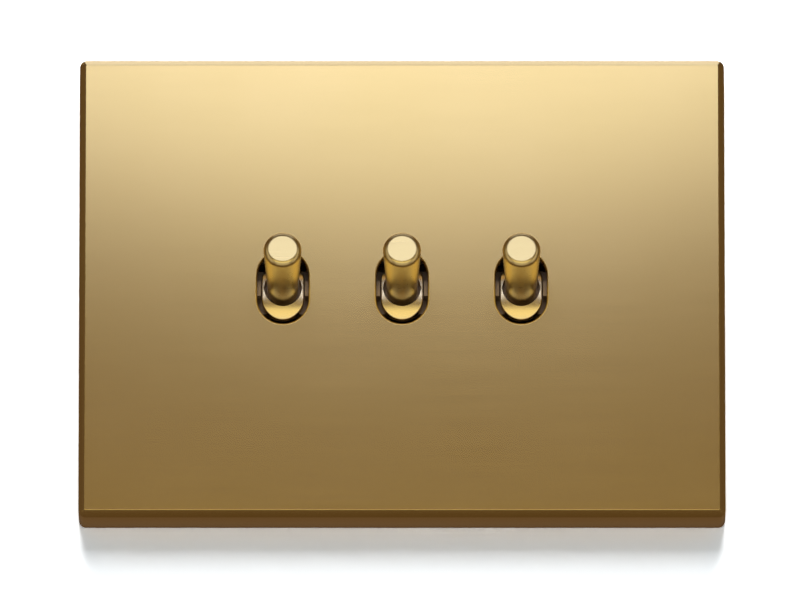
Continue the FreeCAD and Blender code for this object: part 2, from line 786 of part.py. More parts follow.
def make_blade(gang, sign):
    """Contact blade bent at its middle, and the two rivets on its back."""
    spot = {"x": f"{sign} * gang_pitch", "y": "blade_depth - plate_depth", "turn": "blade_rest"}
    outer = "blade_inner_rad + blade_thk"
    half_w = ("-blade_w / 2", "blade_w / 2")
    arms, rivets = [], []
    for up in (-1, 1):
        tag = "upper" if up > 0 else "lower"
        z_span = sided("0", "blade_half_len", up)
        flat = box(f"blade_{gang}_{tag}_flat", half_w, ("blade_inner_rad", outer), z_span)
        arm = join(f"blade_{gang}_{tag}", flat, blade_lip(flat, up))
        place(arm, turn=f"{up} * blade_bend")
        arms.append(arm)
        height = f"{up} * tip_offset"
        rivet = rod(f"blade_{gang}_{tag}_rivet", "y", "tip_dia / 2", outer, "tip_rise", z=height)
        turned_rivet = group(f"blade_{gang}_{tag}_tip", rivet)
        place(turned_rivet, turn=f"{up} * blade_bend")
        rivets.append(turned_rivet)
    full = rod(f"blade_{gang}_bend_full", "x", outer, "-blade_w / 2", "blade_w")
    core = rod(f"blade_{gang}_bend_core", "x", "blade_inner_rad", "-blade_w", "2 * blade_w")
    axes = FreeCAD.Rotation(V(0, 1, 0), V(0, 0, 1), V(1, 0, 0), "ZXY")
    full.Placement = FreeCAD.Placement(V(0, 0, 0), axes)
    bind(full, Angle="2 * blade_bend")
    place(full, "-blade_w / 2")
    wedge = cut(f"blade_{gang}_bend", full, core)
    lean = group(f"blade_{gang}_bend_lean", wedge)
    place(lean, turn="-blade_bend")
    body = join(f"blade_{gang}", *arms, lean)
    place(body, **spot)
    node(f"blade_{gang}", body)
    tips = group(f"blade_tips_{gang}", *rivets)
    place(tips, **spot)
    node(f"blade_tips_{gang}", tips)


def blade_lip(flat, up):
    """A small stiffening lip at the end of a blade arm, on its front side."""
    front = ("blade_inner_rad - lip_rise", "blade_inner_rad")
    z_span = sided("blade_half_len - lip_thk", "blade_half_len", up)
    return box(flat.Name + "_lip", ("-blade_w / 2", "blade_w / 2"), front, z_span)


def terminal(label, gang_x, strips, tongue_x, up):
    """A stamped terminal: flat strips on the deck and a tongue into the wire clamp."""
    deck = (STRIP_Y, f"{STRIP_Y} + strip_thk")
    items = [deep_box(f"{label}_strip_{i}", x, depth or deck, z) for i, (x, z, depth) in enumerate(strips)]
    z_span = sided(TONGUE_Z, TONGUE_TOP, up)
    x_span = (f"{tongue_x} - tongue_w / 2", f"{tongue_x} + tongue_w / 2")
    items.append(deep_box(f"{label}_tongue", x_span, (STRIP_Y, "tongue_depth"), z_span))
    body = join(label, *items)
    place(body, gang_x)
    node(label, body)


def make_contacts(gang, sign):
    """The three fixed terminals, their rivets, the wire clamps and the clamp screws of one module."""
    at = f"{sign} * gang_pitch"
    runner = ("strip_edge - strip_w", "strip_edge")
    mirror = ("-strip_edge", "strip_w - strip_edge")
    top = TONGUE_TOP
    cheek_in = "blade_w / 2 + blade_side_gap"
    cheek_out = f"{cheek_in} + saddle_cheek"
    cheek_depth = (f"{STRIP_Y} - saddle_cheek_rise", STRIP_Y)
    saddle_depth = (BLADE_BACK, STRIP_Y)
    half = "saddle_half"
    common = [
        ((f"-({cheek_out})", "strip_edge"), ("-saddle_strip_half", "saddle_strip_half"), None),
        ((f"-({cheek_out})", cheek_out), (f"-{half}", half), saddle_depth),
        ((cheek_in, cheek_out), (f"-{half}", half), cheek_depth),
        ((f"-({cheek_out})", f"-({cheek_in})"), (f"-{half}", half), cheek_depth),
        (runner, ("-saddle_strip_half", top), None),
        (("-tongue_w / 2", "strip_edge"), (f"{top} - 2 * foot_half", top), None),
    ]
    terminal(f"common_terminal_{gang}", at, common, "0", 1)
    low_left = ("-lower_pair_x - tongue_w / 2", "-lower_pair_x + tongue_w / 2")
    low_right = ("lower_pair_x - tongue_w / 2", "lower_pair_x + tongue_w / 2")
    pad_up = ("tip_offset - pad_half", "tip_offset + pad_half")
    pad_down = ("-tip_offset - pad_half", "-tip_offset + pad_half")
    foot = (f"-({top})", f"-({top}) + 2 * foot_half")
    upper = [
        (("-strip_edge", "pad_x"), pad_up, None),
        (mirror, (f"-({top})", "tip_offset + pad_half"), None),
        (low_left, foot, None),
    ]
    terminal(f"upper_terminal_{gang}", at, upper, "-lower_pair_x", -1)
    lower = [
        (("-pad_x", "strip_edge"), pad_down, None),
        (runner, (f"-({top})", "-tip_offset + pad_half"), None),
        (low_right, foot, None),
    ]
    terminal(f"lower_terminal_{gang}", at, lower, "lower_pair_x", -1)

    tip_front = "blade_depth + blade_inner_rad + blade_thk + tip_rise + contact_gap"
    rivets = [
        rod(
            f"fixed_tips_{gang}_{up + 1}",
            "y",
            "tip_dia / 2 + 2 * contact_gap",
            f"{tip_front} - plate_depth",
            f"{STRIP_Y} - ({tip_front})",
            z=f"{up} * tip_offset",
        )
        for up in (-1, 1)
    ]
    tips = group(f"fixed_tips_{gang}", *rivets)
    place(tips, at)
    node(f"fixed_tips_{gang}", tips)

    cages, screws = [], []
    for i, (x, up) in enumerate(CLAMPS):
        cages.append(make_cage(f"clamp_cage_{gang}_{i}", x, up))
        screws.append(make_clamp_screw(f"clamp_screw_{gang}_{i}", x, up))
    cage_group = group(f"clamp_cages_{gang}", *cages)
    place(cage_group, at)
    node(f"clamp_cages_{gang}", cage_group)
    screw_group = group(f"terminal_screws_{gang}", *screws)
    place(screw_group, at)
    node(f"terminal_screws_{gang}", screw_group)


def make_cage(name, x, up):
    """A rectangular wire clamp around the tongue, with the screw hole in its outer bar."""
    depth = ("cage_front", "cage_front + cage_len")
    through = ("cage_front - overrun", "cage_front + cage_len + overrun")
    outside = (f"{x} - cage_w / 2", f"{x} + cage_w / 2")
    inside = (f"{x} - cage_w / 2 + cage_wall", f"{x} + cage_w / 2 - cage_wall")
    shell = deep_box(name + "_shell", outside, depth, sided(CAGE_IN, CAGE_OUT, up))
    inner_z = sided(f"{CAGE_IN} + cage_bar", f"{CAGE_OUT} - cage_bar", up)
    tunnel = deep_box(name + "_tunnel", inside, through, inner_z)
    hole = rod(
        name + "_hole",
        "z",
        "clamp_screw_dia / 2 + fit_clear",
        sided(f"{CAGE_OUT} - 2 * cage_bar", f"{CAGE_OUT} + overrun", up)[0],
        "2 * cage_bar + overrun",
        x=x,
        y=at_depth("clamp_screw_depth"),
    )
    return cut(name, shell, tunnel, hole)


def make_clamp_screw(name, x, up):
    """A clamp screw that stands on the tongue, head outwards."""
    spot = {"x": x, "y": at_depth("clamp_screw_depth")}
    foot = f"{TONGUE_TOP} + fit_clear"
    shank_start = sided(foot, CLAMP_HEAD_Z, up)[0]
    head_start = sided(CLAMP_HEAD_Z, f"{CLAMP_HEAD_Z} + clamp_head_len", up)[0]
    shank_len = f"{CLAMP_HEAD_Z} - ({foot})"
    shank = rod(name + "_shank", "z", "clamp_screw_dia / 2", shank_start, shank_len, **spot)
    head = rod(name + "_head", "z", "clamp_screw_head / 2", head_start, "clamp_head_len", **spot)
    return join(name, shank, head)


def make_housing(gang, sign):
    """Moulded housing of one module: open front, snap hooks, clamp pockets, wire entries, driver holes."""
    name = f"housing_{gang}"
    half_h = "housing_h / 2"
    back_y = solve(at_depth("housing_back"))
    shell = doc.addObject("PartDesign::Body", name + "_shell")
    rim = new_sketch(shell, name + "_outline", "XZ_Plane", "plate_depth - housing_back")
    rounded(rim, HOUSING_W, "housing_h", "housing_rad")
    pad(shell, name + "_pad", rim, "housing_back - frame_front")
    wires = new_sketch(shell, name + "_wires", "XZ_Plane", "plate_depth - housing_back")
    for x, up in CLAMPS:
        circle(wires, "wire_dia / 2", x, f"{up} * {WIRE_Z}")
    pocket(shell, name + "_wire_cut", wires, "housing_back - pocket_back + overrun", True)
    bevel(shell, name + "_edges", "housing_bevel", on_depth(back_y))
    hook_y = at_depth("frame_front + hook_ledge + hook_clear")
    hooks = []
    for up in (-1, 1):
        section = [
            (hook_y, f"{half_h} - hook_root"),
            (hook_y, f"{half_h} + hook_rise"),
            (f"{hook_y} + hook_flat", f"{half_h} + hook_rise"),
            (f"{hook_y} + hook_len", half_h),
            (f"{hook_y} + hook_len", f"{half_h} - hook_root"),
        ]
        if up < 0:
            section = [(y, f"-({z})") for y, z in reversed(section)]
        hooks.append(profiled(f"{name}_hook_{up + 1}", both("hook_half"), section))
    deck = f"{STRIP_Y} + strip_thk"
    in_w, in_h = f"{HOUSING_W} / 2 - housing_wall", f"{half_h} - housing_wall_z"
    tools = [deep_box(name + "_cavity", both(in_w), ("frame_front - overrun", deck), both(in_h))]
    for i, (x, up) in enumerate(CLAMPS):
        room = (f"{x} - cage_w / 2 - pocket_gap", f"{x} + cage_w / 2 + pocket_gap")
        z_span = sided(f"{CAGE_IN} - pocket_gap", f"{CAGE_OUT} + pocket_gap", up)
        tools.append(deep_box(f"{name}_pocket_{i}", room, (f"{deck} - overrun", "pocket_back"), z_span))
        start = sided(CAGE_OUT, f"{half_h} + overrun", up)[0]
        length = f"{half_h} + overrun - {CAGE_OUT}"
        spot = {"x": x, "y": at_depth("clamp_screw_depth")}
        tools.append(rod(f"{name}_driver_{i}", "z", "driver_dia / 2", start, length, **spot))
    body = cut(name, join(name + "_solid", shell, *hooks), *tools)
    place(body, f"{sign} * gang_pitch")
    node(name, body)


def make_front_cover(gang, sign):
    """Front cover of one module: slab with a mouth, two bearing cheeks, four snap legs."""
    name = f"front_cover_{gang}"
    cheek_in = "seat_w / 2 + ear_gap + ear_thk + cheek_gap"
    cheek_out = f"{cheek_in} + cheek_thk"
    front = "frame_front - cover_thk"
    slab = doc.addObject("PartDesign::Body", name + "_slab")
    rim = new_sketch(slab, name + "_outline", "XZ_Plane", "plate_depth - frame_front")
    rounded(rim, COVER_W, f"{WINDOW_H} + 2 * cover_lap", "cover_rad")
    pad(slab, name + "_pad", rim, "cover_thk")
    cheek = [
        (at_depth("frame_front"), "-cheek_half"),
        (at_depth("frame_front"), "cheek_half"),
        (at_depth("cheek_front + cheek_bevel"), "cheek_half"),
        (at_depth("cheek_front"), "cheek_half - cheek_bevel"),
        (at_depth("cheek_front"), "cheek_bevel - cheek_half"),
        (at_depth("cheek_front + cheek_bevel"), "-cheek_half"),
    ]
    solids = [slab]
    wall = "housing_h / 2 - housing_wall_z - fit_clear"
    leg_depth = (front, "frame_front + leg_len")
    for side in (-1, 1):
        tag = "right" if side > 0 else "left"
        solids.append(profiled(f"{name}_cheek_{tag}", sided(cheek_in, cheek_out, side), cheek))
        for up in (-1, 1):
            leg_z = sided(f"{wall} - leg_thk", wall, up)
            leg_x = sided("leg_in", "leg_out", side)
            solids.append(deep_box(f"{name}_leg_{tag}_{up + 1}", leg_x, leg_depth, leg_z))
    through = (f"{front} - overrun", "frame_front + overrun")
    mouth = deep_box(name + "_mouth", both(cheek_in), through, both("mouth_half"))
    bore = rod(
        name + "_bore",
        "x",
        "trunnion_dia / 2 + trunnion_clear",
        f"-({cheek_out}) - overrun",
        f"2 * ({cheek_out} + overrun)",
        y=at_depth("pivot_depth"),
    )
    body = cut(name, join(name + "_solid", *solids), mouth, bore)
    place(body, f"{sign} * gang_pitch")
    node(name, body)


make_cover_plate()
make_plate_carrier()
make_mounting_frame()
make_box_screws()
for gang_name, gang_sign in GANGS.items():
    make_housing(gang_name, gang_sign)
    make_front_cover(gang_name, gang_sign)
    make_dolly(gang_name, gang_sign)
    make_blade(gang_name, gang_sign)
    make_contacts(gang_name, gang_sign)

doc.recompute()

for item in doc.Objects:
    if any(word in item.State for word in ("Invalid", "Error")):
        raise RuntimeError(f"{item.Name} is in state {item.State}")

os.makedirs("parts", exist_ok=True)
for item in NODES:
    shape = item.Shape
    if shape.isNull() or not shape.isValid() or shape.Volume <= 0:
        raise RuntimeError(f"{item.Label} is not a valid solid")
    shape.exportStep(f"parts/{item.Label}.step")
    print(item.Label, len(shape.Solids), round(shape.Volume, 1))
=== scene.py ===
"""Dresses the dolly switch: satin brass plate, turned dollies, moulded modules, metal terminals.

Every piece is worked out in metres in the frame of the solids: X right, Z up, the front faces -Y.
"""

import json
import logging
import math
from collections.abc import Iterator
from contextlib import contextmanager
from dataclasses import dataclass, field
from enum import Enum

import bmesh
import bpy
import numpy as np
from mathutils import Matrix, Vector
from mathutils.geometry import tessellate_polygon

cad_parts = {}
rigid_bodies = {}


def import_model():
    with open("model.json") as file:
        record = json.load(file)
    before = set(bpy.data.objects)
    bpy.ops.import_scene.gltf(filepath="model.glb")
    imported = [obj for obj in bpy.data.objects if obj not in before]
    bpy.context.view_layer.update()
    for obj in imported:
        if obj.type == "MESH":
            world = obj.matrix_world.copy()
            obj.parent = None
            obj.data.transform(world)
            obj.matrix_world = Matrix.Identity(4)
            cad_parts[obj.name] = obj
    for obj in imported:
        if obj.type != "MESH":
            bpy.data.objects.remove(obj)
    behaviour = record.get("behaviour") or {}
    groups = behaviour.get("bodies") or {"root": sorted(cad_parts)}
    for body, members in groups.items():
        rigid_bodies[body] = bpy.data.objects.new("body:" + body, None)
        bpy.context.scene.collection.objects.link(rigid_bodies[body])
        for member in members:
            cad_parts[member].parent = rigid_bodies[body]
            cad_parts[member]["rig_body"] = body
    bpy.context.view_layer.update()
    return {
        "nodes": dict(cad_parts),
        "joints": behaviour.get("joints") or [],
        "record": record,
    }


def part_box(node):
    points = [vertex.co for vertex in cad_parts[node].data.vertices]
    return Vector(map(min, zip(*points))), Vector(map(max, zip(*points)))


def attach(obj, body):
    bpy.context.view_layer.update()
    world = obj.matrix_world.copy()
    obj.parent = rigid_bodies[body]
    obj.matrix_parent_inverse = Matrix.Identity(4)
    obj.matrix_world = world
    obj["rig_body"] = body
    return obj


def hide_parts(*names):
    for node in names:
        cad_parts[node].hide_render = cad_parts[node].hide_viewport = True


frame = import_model()
SLOTS = {part["node"]: part["material_slot"] for part in frame["record"]["subparts"]}

LOG = logging.getLogger("dolly_switch")
Triple = tuple[float, float, float]
MM = 0.001
GANGS = ("left", "centre", "right")
ROOT_BODY = "wall_unit"

# A short straight lead beside a round keeps smooth shading off the flat faces.
FLAT_HOLD = 0.03 * MM
EASE_POINTS = 7
# Points of a mesh closer than this are one point.
WELD_GAP = 2e-6
# Tangent of half the turn at either edge of a 45 degree bevel.
HALF_BEVEL = math.tan(math.radians(22.5))

# Noise values that count as dark and as bright.
NOISE_LOW, NOISE_HIGH = 0.3, 0.7
# Stretch of an even texture, and of a grain that runs along X.
EVEN = (1.0, 1.0, 1.0)
GRAIN = (1.0, 60.0, 60.0)
CLOUD_DETAIL, GRAIN_DETAIL, POCK_DETAIL = 3.0, 5.0, 2.0


class Beam(Enum):
    """What a lamp does: light everything, show only in mirror-like surfaces, or only wash matt ones."""

    FULL = (True, True)
    MIRROR = (False, True)
    WASH = (True, False)


class Shading(Enum):
    """How the faces of a finished mesh are shaded: the largest angle that stays smooth, in degrees."""

    SOFT = 40.0
    CRISP = 20.0


class NodeMaterial:
    """Small helper that wires a node material."""

    def __init__(self, name: str) -> None:
        """Start a material with only a Principled shader and its output.

        Args:
            name: the material's name.
        """
        self.material = bpy.data.materials.new(name)
        self.material.use_nodes = True
        self.nodes = self.material.node_tree.nodes
        self.links = self.material.node_tree.links
        self.nodes.clear()
        self.output = self.nodes.new("ShaderNodeOutputMaterial")
        self.shader = self.nodes.new("ShaderNodeBsdfPrincipled")
        self.join(self.shader, "BSDF", self.output, "Surface")

    def join(self, source: bpy.types.Node, out: str | int, target: bpy.types.Node, into: str | int) -> None:
        """Link one socket to another."""
        self.links.new(source.outputs[out], target.inputs[into])

    def set(self, **values: object) -> None:
        """Set plain values on the shader's own sockets; an underscore in a name stands for a space."""
        for key, value in values.items():
            self.shader.inputs[key.replace("_", " ")].default_value = value

    def noise(self, scale: float, stretch: Triple, detail: float) -> bpy.types.Node:
        """A noise texture on Object coordinates.

        Args:
            scale: cells per metre.
            stretch: scale of each axis before the noise.
            detail: octaves of the noise.

        Returns:
            The noise node.
        """
        coords = self.nodes.new("ShaderNodeTexCoord")
        mapping = self.nodes.new("ShaderNodeMapping")
        mapping.inputs["Scale"].default_value = stretch
        texture = self.nodes.new("ShaderNodeTexNoise")
        texture.inputs["Scale"].default_value = scale
        texture.inputs["Detail"].default_value = detail
        self.join(coords, "Object", mapping, "Vector")
        self.join(mapping, "Vector", texture, "Vector")
        return texture

    def span(self, source: bpy.types.Node, low: float, high: float) -> bpy.types.Node:
        """Spread a texture's middle values over a range.

        Args:
            source: node whose Fac output is read.
            low: value at the dark end.
            high: value at the bright end.

        Returns:
            The Map Range node.
        """
        node = self.nodes.new("ShaderNodeMapRange")
        node.inputs["From Min"].default_value = NOISE_LOW
        node.inputs["From Max"].default_value = NOISE_HIGH
        node.inputs["To Min"].default_value = low
        node.inputs["To Max"].default_value = high
        self.join(source, "Fac", node, "Value")
        return node

    def tint(self, source: bpy.types.Node, dark: Triple, light: Triple) -> None:
        """Drive the base colour between two colours by a texture.

        Args:
            source: node whose Fac output is read.
            dark: colour at the dark end.
            light: colour at the bright end.
        """
        ramp = self.nodes.new("ShaderNodeValToRGB")
        ramp.color_ramp.elements[0].position = NOISE_LOW
        ramp.color_ramp.elements[1].position = NOISE_HIGH
        ramp.color_ramp.elements[0].color = (*dark, 1.0)
        ramp.color_ramp.elements[1].color = (*light, 1.0)
        self.join(source, "Fac", ramp, "Fac")
        self.join(ramp, "Color", self.shader, "Base Color")

    def tint_by_depth(self, front: Triple, back: Triple, start: float, stop: float, turn: float) -> None:
        """Blend the base colour along the Object Y coordinate, turned about X.

        Args:
            front: colour up to the start.
            back: colour from the stop on.
            start: depth where the blend begins, in metres.
            stop: depth where it ends.
            turn: turn of the depth's axis, in degrees.
        """
        coords = self.nodes.new("ShaderNodeTexCoord")
        mapping = self.nodes.new("ShaderNodeMapping")
        mapping.inputs["Rotation"].default_value = (math.radians(turn), 0.0, 0.0)
        split = self.nodes.new("ShaderNodeSeparateXYZ")
        spread = self.nodes.new("ShaderNodeMapRange")
        spread.inputs["From Min"].default_value = start
        spread.inputs["From Max"].default_value = stop
        ramp = self.nodes.new("ShaderNodeValToRGB")
        ramp.color_ramp.elements[0].color = (*front, 1.0)
        ramp.color_ramp.elements[1].color = (*back, 1.0)
        self.join(coords, "Object", mapping, "Vector")
        self.join(mapping, "Vector", split, "Vector")
        self.join(split, "Y", spread, "Value")
        self.join(spread, "Result", ramp, "Fac")
        self.join(ramp, "Color", self.shader, "Base Color")

    def relief(
        self, texture: bpy.types.Node, roughness: tuple[float, float], height: float, strength: float
    ) -> None:
        """Let one texture drive the roughness and raise the surface.

        Args:
            texture: node whose Fac output is read.
            roughness: lowest and highest roughness.
            height: height of the bumps in metres.
            strength: share of the bumps that shows.
        """
        rough = self.span(texture, *roughness)
        self.join(rough, "Result", self.shader, "Roughness")
        bump = self.nodes.new("ShaderNodeBump")
        bump.inputs["Strength"].default_value = strength
        bump.inputs["Distance"].default_value = height
        self.join(texture, "Fac", bump, "Height")
        self.join(bump, "Normal", self.shader, "Normal")


@dataclass(frozen=True)
class BrushedMetal:
    """A metal with a fine drawn or brushed grain along X.

    Attributes:
        name: material name.
        dark: base colour at the dark end of the slow change of colour.
        light: base colour at its bright end.
        roughness: lowest and highest roughness.
        scale: grain cells per metre along the grain.
        height: depth of the grain in metres.
        strength: share of the grain that shows.
        cloud: cells per metre of the slow change of colour.
    """

    name: str
    dark: Triple
    light: Triple
    roughness: tuple[float, float]
    scale: float = 90.0
    height: float = 2e-6
    strength: float = 0.25
    cloud: float = 38.0

    def build(self) -> bpy.types.Material:
        """Wire the finish.

        Returns:
            The new material.
        """
        kit = NodeMaterial(self.name)
        kit.set(Metallic=1.0)
        kit.tint(kit.noise(self.cloud, EVEN, CLOUD_DETAIL), self.dark, self.light)
        kit.relief(kit.noise(self.scale, GRAIN, GRAIN_DETAIL), self.roughness, self.height, self.strength)
        return kit.material


@dataclass(frozen=True)
class TurnedMetal:
    """A turned metal whose flat end is painted lighter and yellower than its sides: painted light, for the
    end catching the lamp above and the sides showing darker reflections.

    Attributes:
        name: material name.
        end: base colour of the end face, painted lighter for the light it catches.
        side: base colour of the sides, painted duller for their darker reflections.
        roughness: lowest and highest roughness.
        start: depth where the end's colour begins to fade.
        stop: depth where the sides' colour is reached.
        turn: tilt of the turned axis, in degrees.
        scale: grain cells per metre along X.
        height: depth of the grain in metres.
        strength: share of the grain that shows.
    """

    name: str
    end: Triple
    side: Triple
    roughness: tuple[float, float]
    start: float
    stop: float
    turn: float
    scale: float = 40.0
    height: float = 6e-7
    strength: float = 0.25

    def build(self) -> bpy.types.Material:
        """Wire the finish.

        Returns:
            The new material.
        """
        kit = NodeMaterial(self.name)
        kit.set(Metallic=1.0)
        kit.tint_by_depth(self.end, self.side, self.start, self.stop, self.turn)
        kit.relief(kit.noise(self.scale, GRAIN, GRAIN_DETAIL), self.roughness, self.height, self.strength)
        return kit.material


@dataclass(frozen=True)
class MouldedPlastic:
    """A moulded plastic with a spark-eroded texture.

    Attributes:
        name: material name.
        dark: colour at the dark end of the slow change of colour.
        light: colour at its bright end.
        roughness: lowest and highest roughness.
        scale: texture cells per metre.
        height: depth of the texture in metres.
        strength: share of the texture that shows.
        cloud: cells per metre of the slow change of colour.
    """

    name: str
    dark: Triple
    light: Triple
    roughness: tuple[float, float]
    scale: float = 2600.0
    height: float = 1.5e-5
    strength: float = 0.5
    cloud: float = 120.0

    def build(self) -> bpy.types.Material:
        """Wire the finish.

        Returns:
            The new material.
        """
        kit = NodeMaterial(self.name)
        kit.tint(kit.noise(self.cloud, EVEN, CLOUD_DETAIL), self.dark, self.light)
        kit.relief(kit.noise(self.scale, EVEN, POCK_DETAIL), self.roughness, self.height, self.strength)
        return kit.material


FINISHES = (
    BrushedMetal("satin_brass", (0.83, 0.565, 0.162), (0.85, 0.58, 0.172), (0.235, 0.255), 40.0, 3e-7),
    # Painted light: the lever's lighter end and duller sides.
    TurnedMetal(
        "turned_brass",
        end=(0.76, 0.545, 0.172),
        side=(0.64, 0.535, 0.285),
        roughness=(0.27, 0.31),
        start=-24.0 * MM,
        stop=-23.5 * MM,
        turn=12.2,
    ),
    # Painted light: seat_brass is a paler, lighter copy of the plate's brass, painted for the highlight
    # where the seat catches the lamp above.
    BrushedMetal("seat_brass", (0.80, 0.60, 0.255), (0.83, 0.625, 0.268), (0.24, 0.27), 40.0, 6e-7),
    BrushedMetal("terminal_brass", (0.70, 0.48, 0.20), (0.82, 0.60, 0.28), (0.25, 0.4)),
    BrushedMetal("contact_copper", (0.66, 0.34, 0.19), (0.78, 0.45, 0.27), (0.25, 0.4)),
    BrushedMetal("contact_silver", (0.74, 0.74, 0.72), (0.86, 0.86, 0.84), (0.2, 0.35)),
    BrushedMetal("zinc_steel", (0.52, 0.53, 0.55), (0.68, 0.69, 0.70), (0.25, 0.45)),
    BrushedMetal("spring_steel", (0.40, 0.41, 0.43), (0.55, 0.56, 0.58), (0.25, 0.4)),
    MouldedPlastic("carrier_plastic", (0.030, 0.030, 0.033), (0.042, 0.042, 0.045), (0.42, 0.6)),
    MouldedPlastic("frame_plastic", (0.34, 0.34, 0.33), (0.365, 0.365, 0.352), (0.42, 0.6)),
    MouldedPlastic("housing_plastic", (0.69, 0.69, 0.66), (0.725, 0.725, 0.695), (0.35, 0.55)),
    MouldedPlastic("cover_plastic", (0.200, 0.130, 0.062), (0.225, 0.147, 0.072), (0.55, 0.7)),
    MouldedPlastic("actuator_plastic", (0.200, 0.130, 0.062), (0.225, 0.147, 0.072), (0.55, 0.7)),
    MouldedPlastic("plunger_plastic", (0.50, 0.46, 0.35), (0.60, 0.56, 0.44), (0.3, 0.45)),
)


class FinishShelf:
    """Builds each finish once and hands it out by name."""

    def __init__(self) -> None:
        """Build every finish."""
        self.materials = {finish.name: finish.build() for finish in FINISHES}

    def dress(self, piece: bpy.types.Object, slot: str) -> None:
        """Give a piece one finish.

        Args:
            piece: the object to dress.
            slot: name of the finish.
        """
        piece.data.materials.clear()
        piece.data.materials.append(self.materials[slot])


@dataclass
class Patch:
    """Vertices and faces of one part of a mesh."""

    points: np.ndarray
    faces: list[tuple[int, ...]]


def grid_patch(points: np.ndarray) -> Patch:
    """Join a grid of points with quads, and its last column with its first.

    Args:
        points: array of shape (rows, columns, 3).

    Returns:
        The patch, with faces that follow rows then columns.
    """
    rows, columns, _ = points.shape
    index = np.arange(rows * columns).reshape(rows, columns)
    index = np.hstack([index, index[:, :1]])
    quads = np.stack([index[:-1, :-1], index[:-1, 1:], index[1:, 1:], index[1:, :-1]], axis=-1)
    return Patch(points.reshape(-1, 3), [tuple(q) for q in quads.reshape(-1, 4).tolist()])


def filled_patch(loops: list[np.ndarray]) -> Patch:
    """Fill a flat outline that may have holes.

    Args:
        loops: the outline and then its holes, each an array of points.

    Returns:
        The patch of triangles.
    """
    triangles = tessellate_polygon([[Vector(p) for p in loop.tolist()] for loop in loops])
    return Patch(np.vstack(loops), [tuple(t) for t in triangles])


def arc(centre: tuple[float, float], radius: float, start: float, end: float, count: int) -> np.ndarray:
    """Points of a circular arc in a profile plane, angles in degrees."""
    angle = np.radians(np.linspace(start, end, count))
    return np.column_stack([centre[0] + radius * np.cos(angle), centre[1] + radius * np.sin(angle)])


def soft_corner(before: np.ndarray, corner: np.ndarray, after: np.ndarray, reach: float) -> np.ndarray:
    """Ease a corner of a profile by a parabola, with a short straight lead on both sides.

    Args:
        before: a point on the line into the corner.
        corner: the corner.
        after: a point on the line out of the corner.
        reach: length of the eased part along each line.

    Returns:
        Points of the eased corner.
    """
    inward = (before - corner) / np.linalg.norm(before - corner)
    outward = (after - corner) / np.linalg.norm(after - corner)
    t = np.linspace(0.0, 1.0, EASE_POINTS)[:, None]
    start, end = corner + inward * reach, corner + outward * reach
    curve = (1.0 - t) ** 2 * start + 2.0 * t * (1.0 - t) * corner + t**2 * end
    return np.vstack([start + inward * FLAT_HOLD, curve, end + outward * FLAT_HOLD])


def rectangle_loop(
    half_w: float, half_h: float, radius: float, inset: np.ndarray, steps: int
) -> np.ndarray:
    """Outlines of a rectangle with round corners, moved inwards.

    Each corner is a quarter circle whose radius shrinks with the inset, down to a small least value.

    Args:
        half_w: half the width.
        half_h: half the height.
        radius: corner radius at no inset.
        inset: one inset per outline.
        steps: points per corner.

    Returns:
        Array of shape (insets, points, 2).
    """
    least = 0.04 * MM
    rad = np.maximum(radius - inset, least)[:, None]
    turn = np.radians(np.linspace(0.0, 90.0, steps))
    angle = np.concatenate([turn + k * math.pi / 2 for k in range(4)])[None, :]
    sign_x = np.repeat([1.0, -1.0, -1.0, 1.0], steps)[None, :]
    sign_z = np.repeat([1.0, 1.0, -1.0, -1.0], steps)[None, :]
    x = sign_x * (half_w - inset[:, None] - rad) + rad * np.cos(angle)
    z = sign_z * (half_h - inset[:, None] - rad) + rad * np.sin(angle)
    return np.stack([x, z], axis=-1)


def stadium_loop(half_w: float, half_len: float, inset: np.ndarray, steps: int) -> np.ndarray:
    """Outlines of an upright slot with round ends, moved inwards.

    Args:
        half_w: half the width.
        half_len: half the length.
        inset: one inset per outline, negative to grow.
        steps: points per half circle.

    Returns:
        Array of shape (insets, points, 2).
    """
    turn = np.radians(np.linspace(0.0, 180.0, steps))
    angle = np.concatenate([turn, turn + math.pi])[None, :]
    reach = half_len - half_w
    lift = np.repeat([reach, -reach], steps)[None, :]
    rad = (half_w - inset)[:, None]
    return np.stack([rad * np.cos(angle), lift + rad * np.sin(angle)], axis=-1)


def upright(loops: np.ndarray, depth: np.ndarray, centre_x: float = 0.0) -> np.ndarray:
    """Stand outlines of (x, z) at their depths along Y."""
    y = np.broadcast_to(depth[:, None], loops.shape[:2])
    return np.stack([loops[..., 0] + centre_x, y, loops[..., 1]], axis=-1)


def turned(profile: np.ndarray, steps: int) -> np.ndarray:
    """Spin a profile of (radius, y) about the Y axis.

    Args:
        profile: points from the back to the front.
        steps: points around.

    Returns:
        Array of shape (profile points, steps, 3).
    """
    angle = np.linspace(0.0, 2.0 * math.pi, steps, endpoint=False)[None, :]
    radius = profile[:, :1]
    y = np.broadcast_to(profile[:, 1:], (len(profile), steps))
    return np.stack([radius * np.cos(angle), y, radius * np.sin(angle)], axis=-1)


def tilted(points: np.ndarray, degrees: float, origin: Triple) -> np.ndarray:
    """Turn points about X and move them to an origin.

    Args:
        points: array whose last axis is (x, y, z).
        degrees: the turn.
        origin: where the turn's centre goes.

    Returns:
        The moved points.
    """
    c, s = math.cos(math.radians(degrees)), math.sin(math.radians(degrees))
    turn = np.array([[1.0, 0.0, 0.0], [0.0, c, -s], [0.0, s, c]])
    return points @ turn.T + np.array(origin)


def hinge(gang: str) -> tuple[Triple, float]:
    """Pivot of a dolly and its tilt at rest, which is half of its travel upwards.

    Args:
        gang: name of the gang.

    Returns:
        The pivot, and the tilt in degrees.
    """
    joint = next(j for j in frame["joints"] if j["name"] == f"dolly_tilt_{gang}")
    return tuple(joint["pos_m"]), -joint["range_deg"][1] / 2.0


